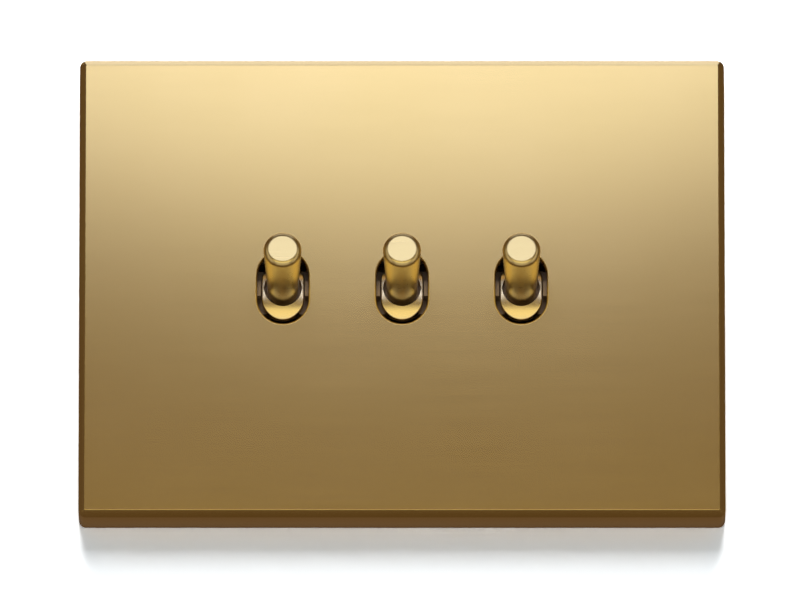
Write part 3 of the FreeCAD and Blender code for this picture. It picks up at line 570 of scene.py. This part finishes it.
@contextmanager
def edited(mesh: bpy.types.Mesh) -> Iterator[bmesh.types.BMesh]:
    """Open a mesh with its doubled points merged, and write it back after the edit.

    Args:
        mesh: the mesh to edit.

    Yields:
        The open mesh.
    """
    work = bmesh.new()
    work.from_mesh(mesh)
    bmesh.ops.remove_doubles(work, verts=work.verts, dist=WELD_GAP)
    yield work
    work.to_mesh(mesh)
    work.free()


@dataclass
class Workshop:
    """Makes finished objects and keeps count of them."""

    shelf: FinishShelf
    made: list[str] = field(default_factory=list)

    def piece(
        self,
        name: str,
        patches: list[Patch],
        body: str,
        slot: str,
        stands_for: tuple[str, ...],
        shading: Shading = Shading.SOFT,
    ) -> bpy.types.Object:
        """Weld patches into one object, shade it, dress it and hang it on its body.

        Args:
            name: object name.
            patches: the surfaces to weld.
            body: body that the piece rides on.
            slot: material slot, which names the finish.
            stands_for: nodes that the piece replaces.
            shading: how edges are shaded.

        Returns:
            The finished object.
        """
        starts = np.cumsum([0] + [len(p.points) for p in patches[:-1]])
        points = np.vstack([p.points for p in patches])
        faces = [tuple(i + s for i in f) for p, s in zip(patches, starts.tolist()) for f in p.faces]
        mesh = bpy.data.meshes.new(name)
        mesh.from_pydata(points.tolist(), [], faces)
        return self.finish(name, mesh, body, slot, stands_for, shading)

    def finish(
        self,
        name: str,
        mesh: bpy.types.Mesh,
        body: str,
        slot: str,
        stands_for: tuple[str, ...],
        shading: Shading,
    ) -> bpy.types.Object:
        """Weld a mesh, turn its faces outwards, and make it a dressed piece.

        Args:
            name: object name.
            mesh: mesh in the shared frame.
            body: body that the piece rides on.
            slot: material slot, which names the finish.
            stands_for: nodes that the piece replaces.
            shading: how edges are shaded.

        Returns:
            The finished object.
        """
        with edited(mesh) as work:
            bmesh.ops.recalc_face_normals(work, faces=work.faces)
        mesh.shade_smooth()
        mesh.set_sharp_from_angle(angle=math.radians(shading.value))
        item = bpy.data.objects.new(name, mesh)
        bpy.context.scene.collection.objects.link(item)
        self.shelf.dress(item, slot)
        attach(item, body)
        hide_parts(*stands_for)
        self.made.append(name)
        LOG.info("%s: %d faces on %s", name, len(mesh.polygons), body)
        return item


@dataclass
class BrassPlate:
    """The bevelled brass tray with its slots.

    Attributes:
        sheet: thickness of the front.
        rim: thickness of the sides.
        bevel: size of the front bevel.
        corner: corner radius seen from the front.
        soft: radius of the small rounds.
        slot_w: slot width.
        slot_len: slot length.
        lip: round of the slot's front edge.
        round_points: points across a small round.
        lip_points: points across the lip.
        corner_points: points along a corner.
        slot_points: points along a slot's round end.
    """

    sheet: float = 1.6 * MM
    rim: float = 1.6 * MM
    bevel: float = 1.2 * MM
    corner: float = 1.4 * MM
    soft: float = 0.09 * MM
    slot_w: float = 9.7 * MM
    slot_len: float = 14.2 * MM
    lip: float = 0.32 * MM
    round_points: int = 4
    lip_points: int = 6
    corner_points: int = 9
    slot_points: int = 32

    def __post_init__(self) -> None:
        """Read the plate's box and the places of the dollies."""
        self.low, self.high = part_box("cover_plate")
        self.centres = [hinge(gang)[0][0] for gang in GANGS]

    def rim_profile(self) -> np.ndarray:
        """Section of the rim: inner wall, back edge, side, bevel and front, with an arc at each edge.

        Returns:
            Points as (inset, y).
        """
        back, front = self.high.y, self.low.y
        r, count = self.soft, self.round_points
        knee = r * HALF_BEVEL
        side = front + self.bevel
        lower = arc((r, side + knee), r, 180.0, 225.0, count)
        upper = arc((self.bevel + knee, front + r), r, 225.0, 270.0, count)
        inner = np.array([[self.rim, front + self.sheet], [self.rim, back - r]])
        edge_in = arc((self.rim - r, back - r), r, 0.0, 90.0, count)
        edge_out = arc((r, back - r), r, 90.0, 180.0, count)
        sill = upper[-1] + np.array([FLAT_HOLD, 0.0])
        return np.vstack([inner, edge_in, edge_out, lower, upper, sill])

    def lip_profile(self) -> np.ndarray:
        """Section of a slot's edge: an arc from the front face, then straight to the back of the sheet.

        Returns:
            Points as (inset, y).
        """
        front = self.low.y
        round_in = arc((-self.lip, front + self.lip), self.lip, -90.0, 0.0, self.lip_points)
        sill = round_in[0] - np.array([FLAT_HOLD, 0.0])
        return np.vstack([sill, round_in, [[0.0, front + self.sheet]]])

    def build(self, shop: Workshop) -> None:
        """Make the plate: swept rim, swept slot lips, and the two flat faces between them.

        Args:
            shop: where the piece is finished.
        """
        section = self.rim_profile()
        outlines = rectangle_loop(self.high.x, self.high.z, self.corner, section[:, 0], self.corner_points)
        rim = upright(outlines, section[:, 1])
        patches = [grid_patch(rim)]
        lip = self.lip_profile()
        front_holes, back_holes = [], []
        for x in self.centres:
            loops = stadium_loop(self.slot_w / 2, self.slot_len / 2, lip[:, 0], self.slot_points)
            wall = upright(loops, lip[:, 1], x)
            patches.append(grid_patch(wall))
            front_holes.append(wall[0])
            back_holes.append(wall[-1])
        patches.append(filled_patch([rim[-1], *front_holes]))
        patches.append(filled_patch([rim[0], *back_holes]))
        shop.piece("brass_plate", patches, ROOT_BODY, "satin_brass", ("cover_plate",), Shading.CRISP)


@dataclass
class Dolly:
    """One lever with its seat plate, built upright along -Y and then tilted on its pivot.

    Attributes:
        gang: name of the gang.
        reach: pivot to the flat end.
        shoulder: pivot to the lever's foot, negative behind the pivot.
        base_r: lever radius at the foot.
        tip_r: lever radius at the end.
        tip_bevel: size of the end's bevel.
        tip_ease: radius of the rounds on both sides of the bevel.
        seat_rise: pivot to the top of the seat.
        seat_w: seat width.
        seat_len: seat length.
        seat_thk: seat thickness.
        crown: radius of the seat's curved face.
        bore_r: radius of the bore around the lever's foot.
        seat_round: round of the seat's edge.
        cone_share: share of the cone before its eased end.
        cone_rows: rows of points along the cone.
        face_gap: share of the end face that the eased edge takes.
        face_rows: rows of points on the end face.
        around: points around the lever.
        edge_points: points across the seat's round.
        seat_points: points along a round end of the seat.
        seat_rings: rings on the seat's face.
    """

    gang: str
    reach: float = 18.3 * MM
    shoulder: float = -0.56 * MM
    base_r: float = 2.8 * MM
    tip_r: float = 3.6 * MM
    tip_bevel: float = 0.7 * MM
    tip_ease: float = 1.0 * MM
    seat_rise: float = 1.64 * MM
    seat_w: float = 7.9 * MM
    seat_len: float = 12.0 * MM
    seat_thk: float = 2.2 * MM
    crown: float = 12.0 * MM
    bore_r: float = 3.6 * MM
    seat_round: float = 0.2 * MM
    cone_share: float = 0.95
    cone_rows: int = 14
    face_gap: float = 0.2
    face_rows: int = 6
    around: int = 72
    edge_points: int = 6
    seat_points: int = 32
    seat_rings: int = 8

    def __post_init__(self) -> None:
        """Read the pivot and the rest tilt from the hinge."""
        self.pivot, self.tilt = hinge(self.gang)

    def lever(self) -> np.ndarray:
        """Half profile of the lever: a foot, a cone that widens outwards, an eased bevel and a flat end.

        Returns:
            Points as (radius, y), with the pivot at the origin.
        """
        end = -self.reach
        foot = np.array([self.base_r, -self.shoulder])
        brim = np.array([self.tip_r, end + self.tip_bevel])
        rim = np.array([self.tip_r - self.tip_bevel, end])
        middle = np.array([0.0, end])
        cone = foot + (brim - foot) * np.linspace(0.0, self.cone_share, self.cone_rows)[:, None]
        face = rim + (middle - rim) * np.linspace(self.face_gap, 1.0, self.face_rows)[:, None]
        cut = self.tip_ease * HALF_BEVEL
        outer = soft_corner(foot, brim, rim, cut)
        inner = soft_corner(brim, rim, middle, cut)
        return np.vstack([[[0.0, -self.shoulder]], cone, outer, inner, face])

    def face_y(self, z: np.ndarray) -> np.ndarray:
        """Depth of the seat's curved face at a height: an arc about an axis along X."""
        return -self.seat_rise + self.crown - np.sqrt(self.crown**2 - z**2)

    def seat(self) -> list[Patch]:
        """Seat plate: a stadium with a curved face, an eased edge and a round bore for the lever.

        The face is a grid of rings that blend from the stadium to the circle of the bore, each point
        laid on the arc of the face.

        Returns:
            The patches of the plate.
        """
        steps = self.seat_points
        back = self.seat_thk - self.seat_rise
        r = self.seat_round
        ease = np.append(arc((r, r), r, 180.0, 270.0, self.edge_points), [[r + FLAT_HOLD, 0.0]], axis=0)
        edge = stadium_loop(self.seat_w / 2, self.seat_len / 2, ease[:, 0], steps)
        sink = stadium_loop(self.bore_r, self.bore_r, np.zeros(1), steps)
        blend = np.linspace(0.0, 1.0, self.seat_rings + 1)[1:, None, None]
        rings = np.concatenate([edge, edge[-1:] * (1.0 - blend) + sink * blend])
        drop = np.concatenate([ease[:, 1], np.zeros(self.seat_rings)])
        y = self.face_y(rings[..., 1]) + drop[:, None]
        face = np.stack([rings[..., 0], y, rings[..., 1]], axis=-1)
        skirt = upright(edge[:1], np.array([back]))
        bore = upright(sink, np.array([back]))
        grid = np.concatenate([skirt, face, bore])
        return [grid_patch(grid), filled_patch([skirt[0], bore[0]])]

    def build(self, shop: Workshop) -> None:
        """Make the lever and the seat.

        Args:
            shop: where the pieces are finished.
        """
        body = f"dolly_body_{self.gang}"
        spun = tilted(turned(self.lever(), self.around), self.tilt, self.pivot)
        lever = shop.piece(
            f"lever_{self.gang}",
            [grid_patch(spun)],
            body,
            "satin_brass",
            (f"dolly_{self.gang}",),
            Shading.CRISP,
        )
        plates = [Patch(tilted(p.points, self.tilt, self.pivot), p.faces) for p in self.seat()]
        plate = shop.piece(
            f"seat_plate_{self.gang}", plates, body, "satin_brass", (f"seat_{self.gang}",), Shading.CRISP
        )
        # Painted light: the lever's end is painted lighter than its sides.
        shop.shelf.dress(lever, "turned_brass")
        # Painted light: the seat's brass is painted paler and lighter than the plate's.
        shop.shelf.dress(plate, "seat_brass")


@dataclass
class BoxScrews:
    """The two screws with rolled threads behind the frame.

    Attributes:
        head_r: head radius.
        head_len: head height.
        neck_r: radius of the plain neck.
        thread_r: outer radius of the thread.
        pitch: thread pitch.
        depth: thread depth.
        point: length of the point.
        spacing: distance between the screws.
        neck_end: y where the neck ends and the thread begins.
        dome_r: round of the head's front edge.
        dome_points: points across that round.
        around: points around a screw.
        rows_per_turn: rows of points per turn of the thread.
        least_taper: share of the radius left at the point's end.
    """

    head_r: float = 3.2 * MM
    head_len: float = 2.2 * MM
    neck_r: float = 1.95 * MM
    thread_r: float = 1.75 * MM
    pitch: float = 0.6 * MM
    depth: float = 0.3 * MM
    point: float = 1.5 * MM
    spacing: float = 83.5 * MM
    neck_end: float = 0.3 * MM
    dome_r: float = 0.9 * MM
    dome_points: int = 7
    around: int = 48
    rows_per_turn: int = 10
    least_taper: float = 0.25

    def shank(self, start: float, end: float) -> np.ndarray:
        """Thread as a grid: the radius follows a triangle wave of height along the axis less turn.

        Args:
            start: y where the thread begins.
            end: y of the point.

        Returns:
            Array of shape (rows, columns, 3).
        """
        rows = int((end - start) / self.pitch * self.rows_per_turn)
        y = np.linspace(start, end, rows)[:, None]
        angle = np.linspace(0.0, 2.0 * math.pi, self.around, endpoint=False)[None, :]
        phase = (y - start) / self.pitch - angle / (2.0 * math.pi)
        wave = 2.0 * np.abs(phase - np.floor(phase) - 0.5)
        taper = np.clip((end - y) / self.point, self.least_taper, 1.0)
        radius = (self.thread_r - self.depth * (1.0 - wave)) * taper
        y = np.broadcast_to(y, radius.shape)
        return np.stack([radius * np.cos(angle), y, radius * np.sin(angle)], axis=-1)

    def build(self, shop: Workshop) -> None:
        """Make both screws as one piece.

        Args:
            shop: where the piece is finished.
        """
        low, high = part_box("box_screws")
        head_back = low.y + self.head_len
        centre = (self.head_r - self.dome_r, low.y + self.dome_r)
        dome = arc(centre, self.dome_r, -90.0, 0.0, self.dome_points)
        neck = [[self.head_r, head_back], [self.neck_r, head_back], [self.neck_r, self.neck_end]]
        root = [[self.thread_r - self.depth, self.neck_end]]
        profile = np.vstack([[[0.0, low.y]], dome, neck, root])
        patches = []
        for side in (-0.5, 0.5):
            move = np.array([side * self.spacing, 0.0, 0.0])
            shank = self.shank(self.neck_end, high.y) + move
            patches.append(grid_patch(turned(profile, self.around) + move))
            patches.append(grid_patch(shank))
            patches.append(filled_patch([shank[-1]]))
        shop.piece("wall_screws", patches, ROOT_BODY, "zinc_steel", ("box_screws",))


@dataclass
class ClampScrews:
    """The slotted clamp screws of one module.

    Attributes:
        gang: name of the gang.
        head_r: head radius.
        head_len: head height.
        shank_r: shank radius.
        slot_w: width of the driver slot.
        slot_deep: depth of the driver slot.
        across: distance of the lower screws from the module's middle.
        depth_y: place along Y.
        foot: height of the shank's end.
        head_z: height of the head's underside.
        edge: height of the eased edge of the head's top.
        edge_shrink: share of the top's size left by that edge.
        half_points: points around half a head.
        around: points around a screw.
    """

    gang: str
    head_r: float = 2.0 * MM
    head_len: float = 1.4 * MM
    shank_r: float = 1.4 * MM
    slot_w: float = 0.7 * MM
    slot_deep: float = 0.7 * MM
    across: float = 5.1 * MM
    depth_y: float = 15.0 * MM
    foot: float = 18.25 * MM
    head_z: float = 20.0 * MM
    edge: float = 0.15 * MM
    edge_shrink: float = 0.94
    half_points: int = 24
    around: int = 40

    def half_head(self, side: float) -> list[Patch]:
        """One half of the slotted head's top: a circle segment raised above the slot's floor.

        Args:
            side: 1 for the half at +X, -1 for the other.

        Returns:
            The patches of the half.
        """
        reach = math.acos(self.slot_w / 2 / self.head_r)
        angle = np.linspace(-reach, reach, self.half_points)
        x, y = side * self.head_r * np.cos(angle), self.head_r * np.sin(angle)
        top = self.head_z + self.head_len
        height = np.array([top - self.slot_deep, top - self.edge, top])[:, None]
        shrink = np.array([1.0, 1.0, self.edge_shrink])[:, None]
        z = np.broadcast_to(height, (len(height), self.half_points))
        loops = np.stack([shrink * x, shrink * y, z], axis=-1)
        return [grid_patch(loops), filled_patch([loops[-1]])]

    def screw(self) -> list[Patch]:
        """One screw, standing on Z with its head up: a spun profile and the two halves of the head.

        Returns:
            The patches of the screw.
        """
        floor = self.head_z + self.head_len - self.slot_deep
        profile = np.array(
            [
                [0.0, self.foot],
                [self.shank_r, self.foot],
                [self.shank_r, self.head_z],
                [self.head_r, self.head_z],
                [self.head_r, floor],
                [0.0, floor],
            ]
        )
        spun = turned(profile, self.around)[..., [0, 2, 1]]
        return [grid_patch(spun), *self.half_head(1.0), *self.half_head(-1.0)]

    def build(self, shop: Workshop) -> None:
        """Make the three screws of the module as one piece.

        Args:
            shop: where the piece is finished.
        """
        low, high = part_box(f"housing_{self.gang}")
        middle = (low.x + high.x) / 2
        patches = []
        for x, up in ((0.0, 1.0), (-self.across, -1.0), (self.across, -1.0)):
            for part in self.screw():
                place = np.array([middle + x, self.depth_y, 0.0])
                patches.append(Patch(part.points * np.array([1.0, 1.0, up]) + place, part.faces))
        node = f"terminal_screws_{self.gang}"
        shop.piece(f"clamp_screws_{self.gang}", patches, ROOT_BODY, "zinc_steel", (node,), Shading.CRISP)


@dataclass
class CoilSpring:
    """The round-wire coil behind a plunger.

    Attributes:
        gang: name of the gang.
        mean_r: radius to the middle of the wire.
        wire_r: wire radius.
        turns: number of turns.
        start: pivot to the first coil.
        end: pivot to the last coil.
        rows_per_turn: rows of points per turn.
        around: points around the wire.
    """

    gang: str
    mean_r: float = 1.15 * MM
    wire_r: float = 0.22 * MM
    turns: float = 4.0
    start: float = 4.4 * MM
    end: float = 7.6 * MM
    rows_per_turn: int = 28
    around: int = 10

    def build(self, shop: Workshop) -> None:
        """Make the coil: a small circle carried along a helix.

        Args:
            shop: where the piece is finished.
        """
        pivot, tilt = hinge(self.gang)
        t = np.linspace(0.0, 1.0, int(self.turns * self.rows_per_turn))[:, None]
        turn = 2.0 * math.pi * self.turns * t
        ring = np.linspace(0.0, 2.0 * math.pi, self.around, endpoint=False)[None, :]
        rise = self.start + self.wire_r + (self.end - self.start - 2.0 * self.wire_r) * t
        radius = self.mean_r + self.wire_r * np.cos(ring)
        y = rise + self.wire_r * np.sin(ring)
        coil = np.stack([radius * np.cos(turn), y, radius * np.sin(turn)], axis=-1)
        coil = tilted(coil, tilt, pivot)
        patches = [grid_patch(coil), filled_patch([coil[0]]), filled_patch([coil[-1]])]
        name, node = f"coil_{self.gang}", f"spring_{self.gang}"
        shop.piece(name, patches, f"dolly_body_{self.gang}", "spring_steel", (node,))


@dataclass
class SoftenedNode:
    """A moulded or stamped piece whose edges are broken by a small round.

    Attributes:
        node: solid that it stands for.
        radius: round of the edges.
        segments: faces across a round.
        flat: faces that meet under this angle become one, in degrees.
        sharp: edges past this angle are rounded, in degrees.
    """

    node: str
    radius: float = 0.3 * MM
    segments: int = 2
    flat: float = 1.0
    sharp: float = 40.0

    def build(self, shop: Workshop) -> None:
        """Copy the solid's surface, merge it into flat faces and round its edges.

        Args:
            shop: where the piece is finished.
        """
        source = frame["nodes"][self.node]
        mesh = source.data.copy()
        name, body, slot = f"soft_{self.node}", source["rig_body"], SLOTS[self.node]
        mesh.name = name
        with edited(mesh) as work:
            limit = math.radians(self.flat)
            bmesh.ops.dissolve_limit(work, angle_limit=limit, verts=work.verts, edges=work.edges)
        item = shop.finish(name, mesh, body, slot, (self.node,), Shading.SOFT)
        rounding = item.modifiers.new("broken_edges", "BEVEL")
        rounding.width = self.radius
        rounding.segments = self.segments
        rounding.limit_method = "ANGLE"
        rounding.angle_limit = math.radians(self.sharp)
        rounding.use_clamp_overlap = True
        rounding.harden_normals = True


class LampShape(Enum):
    """Outline of a lamp, with the share of its box that it fills."""

    RECTANGLE = 1.0
    ELLIPSE = math.pi / 4.0


COOL = (0.835, 0.998, 1.87)
SOFT_COOL = (0.96, 1.0, 1.22)
PLAIN = (1.0, 1.0, 1.0)


@dataclass(frozen=True)
class Lamp:
    """An area lamp whose surface has a given brightness, hidden from the camera.

    Attributes:
        name: lamp name.
        place: where it stands, in metres.
        size: width and height in metres.
        glow: radiance of its surface.
        tint: colour.
        beam: which surfaces it reaches.
        aim: point that it faces.
        shape: its outline.
    """

    name: str
    place: Triple
    size: tuple[float, float]
    glow: float
    tint: Triple = PLAIN
    beam: Beam = Beam.MIRROR
    aim: Triple = (0.0, 0.0, 0.0)
    shape: LampShape = LampShape.RECTANGLE

    def build(self) -> None:
        """Set up the lamp; its power is radiance times pi times area."""
        data = bpy.data.lights.new(self.name, "AREA")
        data.shape = self.shape.name
        data.size, data.size_y = self.size
        data.energy = self.glow * math.pi * self.size[0] * self.size[1] * self.shape.value
        data.color = self.tint
        item = bpy.data.objects.new(self.name, data)
        item.location = self.place
        item.rotation_euler = (Vector(self.aim) - Vector(self.place)).to_track_quat("-Z", "Y").to_euler()
        item.visible_camera = False
        item.visible_diffuse, item.visible_glossy = self.beam.value
        bpy.context.scene.collection.objects.link(item)


def band_card(
    name: str, band: tuple[float, float], away: float, width: float, glow: float, tint: Triple
) -> Lamp:
    """A reflector card in front of the plate that fills a band of heights.

    Args:
        name: lamp name.
        band: lower and upper edge, in degrees above the plate's middle.
        away: distance in front of the wall.
        width: width in metres.
        glow: radiance.
        tint: colour.

    Returns:
        The lamp.
    """
    bottom, top = (away * math.tan(math.radians(angle)) for angle in band)
    middle = (bottom + top) / 2.0
    return Lamp(name, (0.0, -away, middle), (width, top - bottom), glow, tint, aim=(0.0, 0.0, middle))


LAMPS = (
    # In front: a round softbox for the bright top of the plate and two cards for its lower tones.
    Lamp(
        "softbox",
        place=(0.0, -0.30, 0.202),
        size=(0.32, 0.22),
        glow=1.64,
        tint=COOL,
        aim=(0.0, 0.0, 0.202),
        shape=LampShape.ELLIPSE,
    ),
    band_card("front_card", (-21.0, 2.0), 0.7, 0.9, 1.1, (1.06, 1.0, 0.70)),
    band_card("low_card", (-32.0, -21.0), 0.6, 0.9, 0.8, (0.78, 1.0, 1.6)),
    # At the sides and below: cards that the brass shows from other angles.
    Lamp("left_card", (-0.55, -0.34, 0.0), (0.3, 0.8), 0.61, SOFT_COOL),
    Lamp("right_card", (0.55, -0.34, 0.0), (0.3, 0.8), 0.61, SOFT_COOL),
    Lamp("floor_card", (0.0, -0.50, -0.50), (0.9, 0.4), 0.5, SOFT_COOL),
    # Above: light for the wall, which casts the shadow below the plate.
    Lamp("wall_wash", (0.0, -0.30, 0.24), (0.24, 0.3), 4.6, PLAIN, Beam.WASH, aim=(0.0, 0.0, 0.24)),
    Lamp("top_wash", (0.0, -0.34, 0.66), (0.5, 0.2), 20.0, PLAIN, Beam.WASH),
    # Behind: the tones of the plate's lower and upper edge, and light for the back.
    Lamp("rear_low", (0.0, 0.5, -0.15), (0.8, 0.3), 0.04, (1.0, 0.64, 0.15), aim=(0.0, 0.0, -0.04)),
    Lamp("top_strip", (0.0, 0.14, 0.60), (0.5, 0.24), 1.3, COOL),
    Lamp("rear_left", (-0.45, 0.55, 0.45), (0.5, 0.5), 2.2, PLAIN, Beam.FULL),
    Lamp("rear_right", (0.55, 0.45, 0.10), (0.4, 0.5), 1.2, PLAIN, Beam.FULL),
)


class Surround(Enum):
    """Tint and level of the world for matt surfaces, for mirror-like ones, and for the camera."""

    ROOM = ((0.93, 1.08, 1.18), 0.15)
    MIRROR = ((1.0, 0.70, 0.54), 0.11)
    BACKDROP = (PLAIN, 1.0)


@dataclass
class Studio:
    """Wall, floor, lamps and camera.

    Attributes:
        below: how far the camera looks up, in degrees.
        lens: focal length in millimetres.
        sensor: sensor width in millimetres.
        far: farthest distance that the camera shows, in metres.
        width: width of the view at the wall.
        aim_z: height of the picture's middle on the wall.
        aim_x: sideways place of the picture's middle.
        wall_half_x: half the wall's width.
        wall_half_z: half the wall's height.
        floor_half_y: half the floor's depth.
        recess_half_x: half the width of the wall's recess for the box, hidden by the plate.
        recess_half_z: half the height of the recess.
        wall_paint: brightness of the wall for the camera and for bounced light.
        floor_paint: the same of the floor.
    """

    below: float = 14.3
    lens: float = 1000.0
    sensor: float = 36.0
    far: float = 100.0
    width: float = 151.4 * MM
    aim_z: float = 0.0
    aim_x: float = -0.38 * MM
    wall_half_x: float = 420.0 * MM
    wall_half_z: float = 360.0 * MM
    floor_half_y: float = 550.0 * MM
    recess_half_x: float = 58.5 * MM
    recess_half_z: float = 42.0 * MM
    wall_paint: tuple[float, float] = (2.3, 0.8)
    floor_paint: tuple[float, float] = (1.6, 0.7)

    def camera(self) -> None:
        """Set up the long lens below the plate."""
        data = bpy.data.cameras.new("camera")
        data.sensor_width = self.sensor
        data.lens = self.lens
        data.clip_end = self.far
        item = bpy.data.objects.new("camera", data)
        bpy.context.scene.collection.objects.link(item)
        away = self.lens / self.sensor * self.width
        angle = math.radians(self.below)
        look = Vector((0.0, math.cos(angle), math.sin(angle)))
        target = Vector((self.aim_x, 0.0, self.aim_z))
        item.location = target - look * away
        item.rotation_euler = look.to_track_quat("-Z", "Y").to_euler()
        bpy.context.scene.camera = item

    def sheet(
        self, name: str, corners: np.ndarray, faces: list[tuple[int, ...]], paint: tuple[float, float]
    ) -> None:
        """A flat stage surface that reflections don't show.

        Args:
            name: object name.
            corners: points of the surface.
            faces: its polygons.
            paint: brightness for the camera and for bounced light.
        """
        mesh = bpy.data.meshes.new(name)
        mesh.from_pydata(corners.tolist(), [], faces)
        mesh.materials.append(self.pale(f"{name}_paint", *paint))
        item = bpy.data.objects.new(name, mesh)
        item.visible_glossy = False
        bpy.context.scene.collection.objects.link(item)

    def pale(self, name: str, shown: float, plain: float) -> bpy.types.Material:
        """A pale one-sided paint, brighter where the camera sees it than for bounced light.

        Args:
            name: material name.
            shown: brightness for the camera.
            plain: brightness for bounced light.

        Returns:
            The new material.
        """
        material = bpy.data.materials.new(name)
        material.use_nodes = True
        nodes, links = material.node_tree.nodes, material.node_tree.links
        nodes.clear()
        output = nodes.new("ShaderNodeOutputMaterial")
        path = nodes.new("ShaderNodeLightPath")
        side = nodes.new("ShaderNodeNewGeometry")
        bright, dull = nodes.new("ShaderNodeBsdfDiffuse"), nodes.new("ShaderNodeBsdfDiffuse")
        bright.inputs["Color"].default_value = (shown, shown, shown, 1.0)
        dull.inputs["Color"].default_value = (plain, plain, plain, 1.0)
        clear = nodes.new("ShaderNodeBsdfTransparent")
        seen, facing = nodes.new("ShaderNodeMixShader"), nodes.new("ShaderNodeMixShader")
        links.new(path.outputs["Is Camera Ray"], seen.inputs[0])
        links.new(dull.outputs[0], seen.inputs[1])
        links.new(bright.outputs[0], seen.inputs[2])
        links.new(side.outputs["Backfacing"], facing.inputs[0])
        links.new(seen.outputs[0], facing.inputs[1])
        links.new(clear.outputs[0], facing.inputs[2])
        links.new(facing.outputs[0], output.inputs["Surface"])
        return material

    def stage(self) -> None:
        """Wall with a recess behind the plate, seen from the front only, and a floor below it."""
        signs = np.array([(-1.0, -1.0), (1.0, -1.0), (1.0, 1.0), (-1.0, 1.0)])
        outer = signs * (self.wall_half_x, self.wall_half_z)
        inner = signs * (self.recess_half_x, self.recess_half_z)
        ring = np.vstack([outer, inner])
        flat_ring = np.column_stack([ring[:, 0], np.zeros(len(ring)), ring[:, 1]])
        quads = [(i, (i + 1) % 4, (i + 1) % 4 + 4, i + 4) for i in range(4)]
        self.sheet("wall", flat_ring, quads, self.wall_paint)
        ground = signs * (self.wall_half_x, self.floor_half_y)
        level = np.column_stack([ground, np.full(len(ground), -self.wall_half_z)])
        self.sheet("floor", level, [(0, 1, 2, 3)], self.floor_paint)

    def world(self) -> None:
        """Dim even surroundings, white to the camera and darker in mirror-like surfaces."""
        world = bpy.data.worlds.new("surroundings")
        world.use_nodes = True
        nodes, links = world.node_tree.nodes, world.node_tree.links
        nodes.clear()
        output = nodes.new("ShaderNodeOutputWorld")
        path = nodes.new("ShaderNodeLightPath")
        shades = {}
        for look in Surround:
            tint, level = look.value
            shade = nodes.new("ShaderNodeBackground")
            shade.name = look.name.lower()
            shade.inputs["Color"].default_value = (*tint, 1.0)
            shade.inputs["Strength"].default_value = level
            shades[look] = shade
        glossy, camera = nodes.new("ShaderNodeMixShader"), nodes.new("ShaderNodeMixShader")
        links.new(path.outputs["Is Glossy Ray"], glossy.inputs[0])
        links.new(shades[Surround.ROOM].outputs[0], glossy.inputs[1])
        links.new(shades[Surround.MIRROR].outputs[0], glossy.inputs[2])
        links.new(path.outputs["Is Camera Ray"], camera.inputs[0])
        links.new(glossy.outputs[0], camera.inputs[1])
        links.new(shades[Surround.BACKDROP].outputs[0], camera.inputs[2])
        links.new(camera.outputs[0], output.inputs["Surface"])
        bpy.context.scene.world = world

    def build(self) -> None:
        """Set up everything around the object."""
        self.camera()
        self.stage()
        for lamp in LAMPS:
            lamp.build()
        self.world()
        bpy.context.scene.view_settings.view_transform = "Standard"


SOFT_SINGLES = ("mounting_frame", "plate_carrier")
SOFT_KINDS = {
    "housing": 0.35 * MM,
    "front_cover": 0.25 * MM,
    "actuator": 0.2 * MM,
    "clamp_cages": 0.15 * MM,
    "common_terminal": 0.12 * MM,
    "upper_terminal": 0.12 * MM,
    "lower_terminal": 0.12 * MM,
    "blade": 0.1 * MM,
}
PLAIN_KINDS = ("plunger", "blade_tips", "fixed_tips")


def main() -> None:
    """Build the classes in order."""
    logging.basicConfig(level=logging.INFO, format="%(name)s %(message)s")
    shelf = FinishShelf()
    shop = Workshop(shelf)
    BrassPlate().build(shop)
    BoxScrews().build(shop)
    for node in SOFT_SINGLES:
        SoftenedNode(node).build(shop)
    for gang in GANGS:
        Dolly(gang).build(shop)
        ClampScrews(gang).build(shop)
        CoilSpring(gang).build(shop)
        for kind, radius in SOFT_KINDS.items():
            SoftenedNode(f"{kind}_{gang}", radius).build(shop)
        for kind in PLAIN_KINDS:
            node = f"{kind}_{gang}"
            shelf.dress(frame["nodes"][node], SLOTS[node])
            LOG.info("%s: dressed as it is", node)
    Studio().build()
    LOG.info("%d pieces made", len(shop.made))


if __name__ == "__main__":
    main()
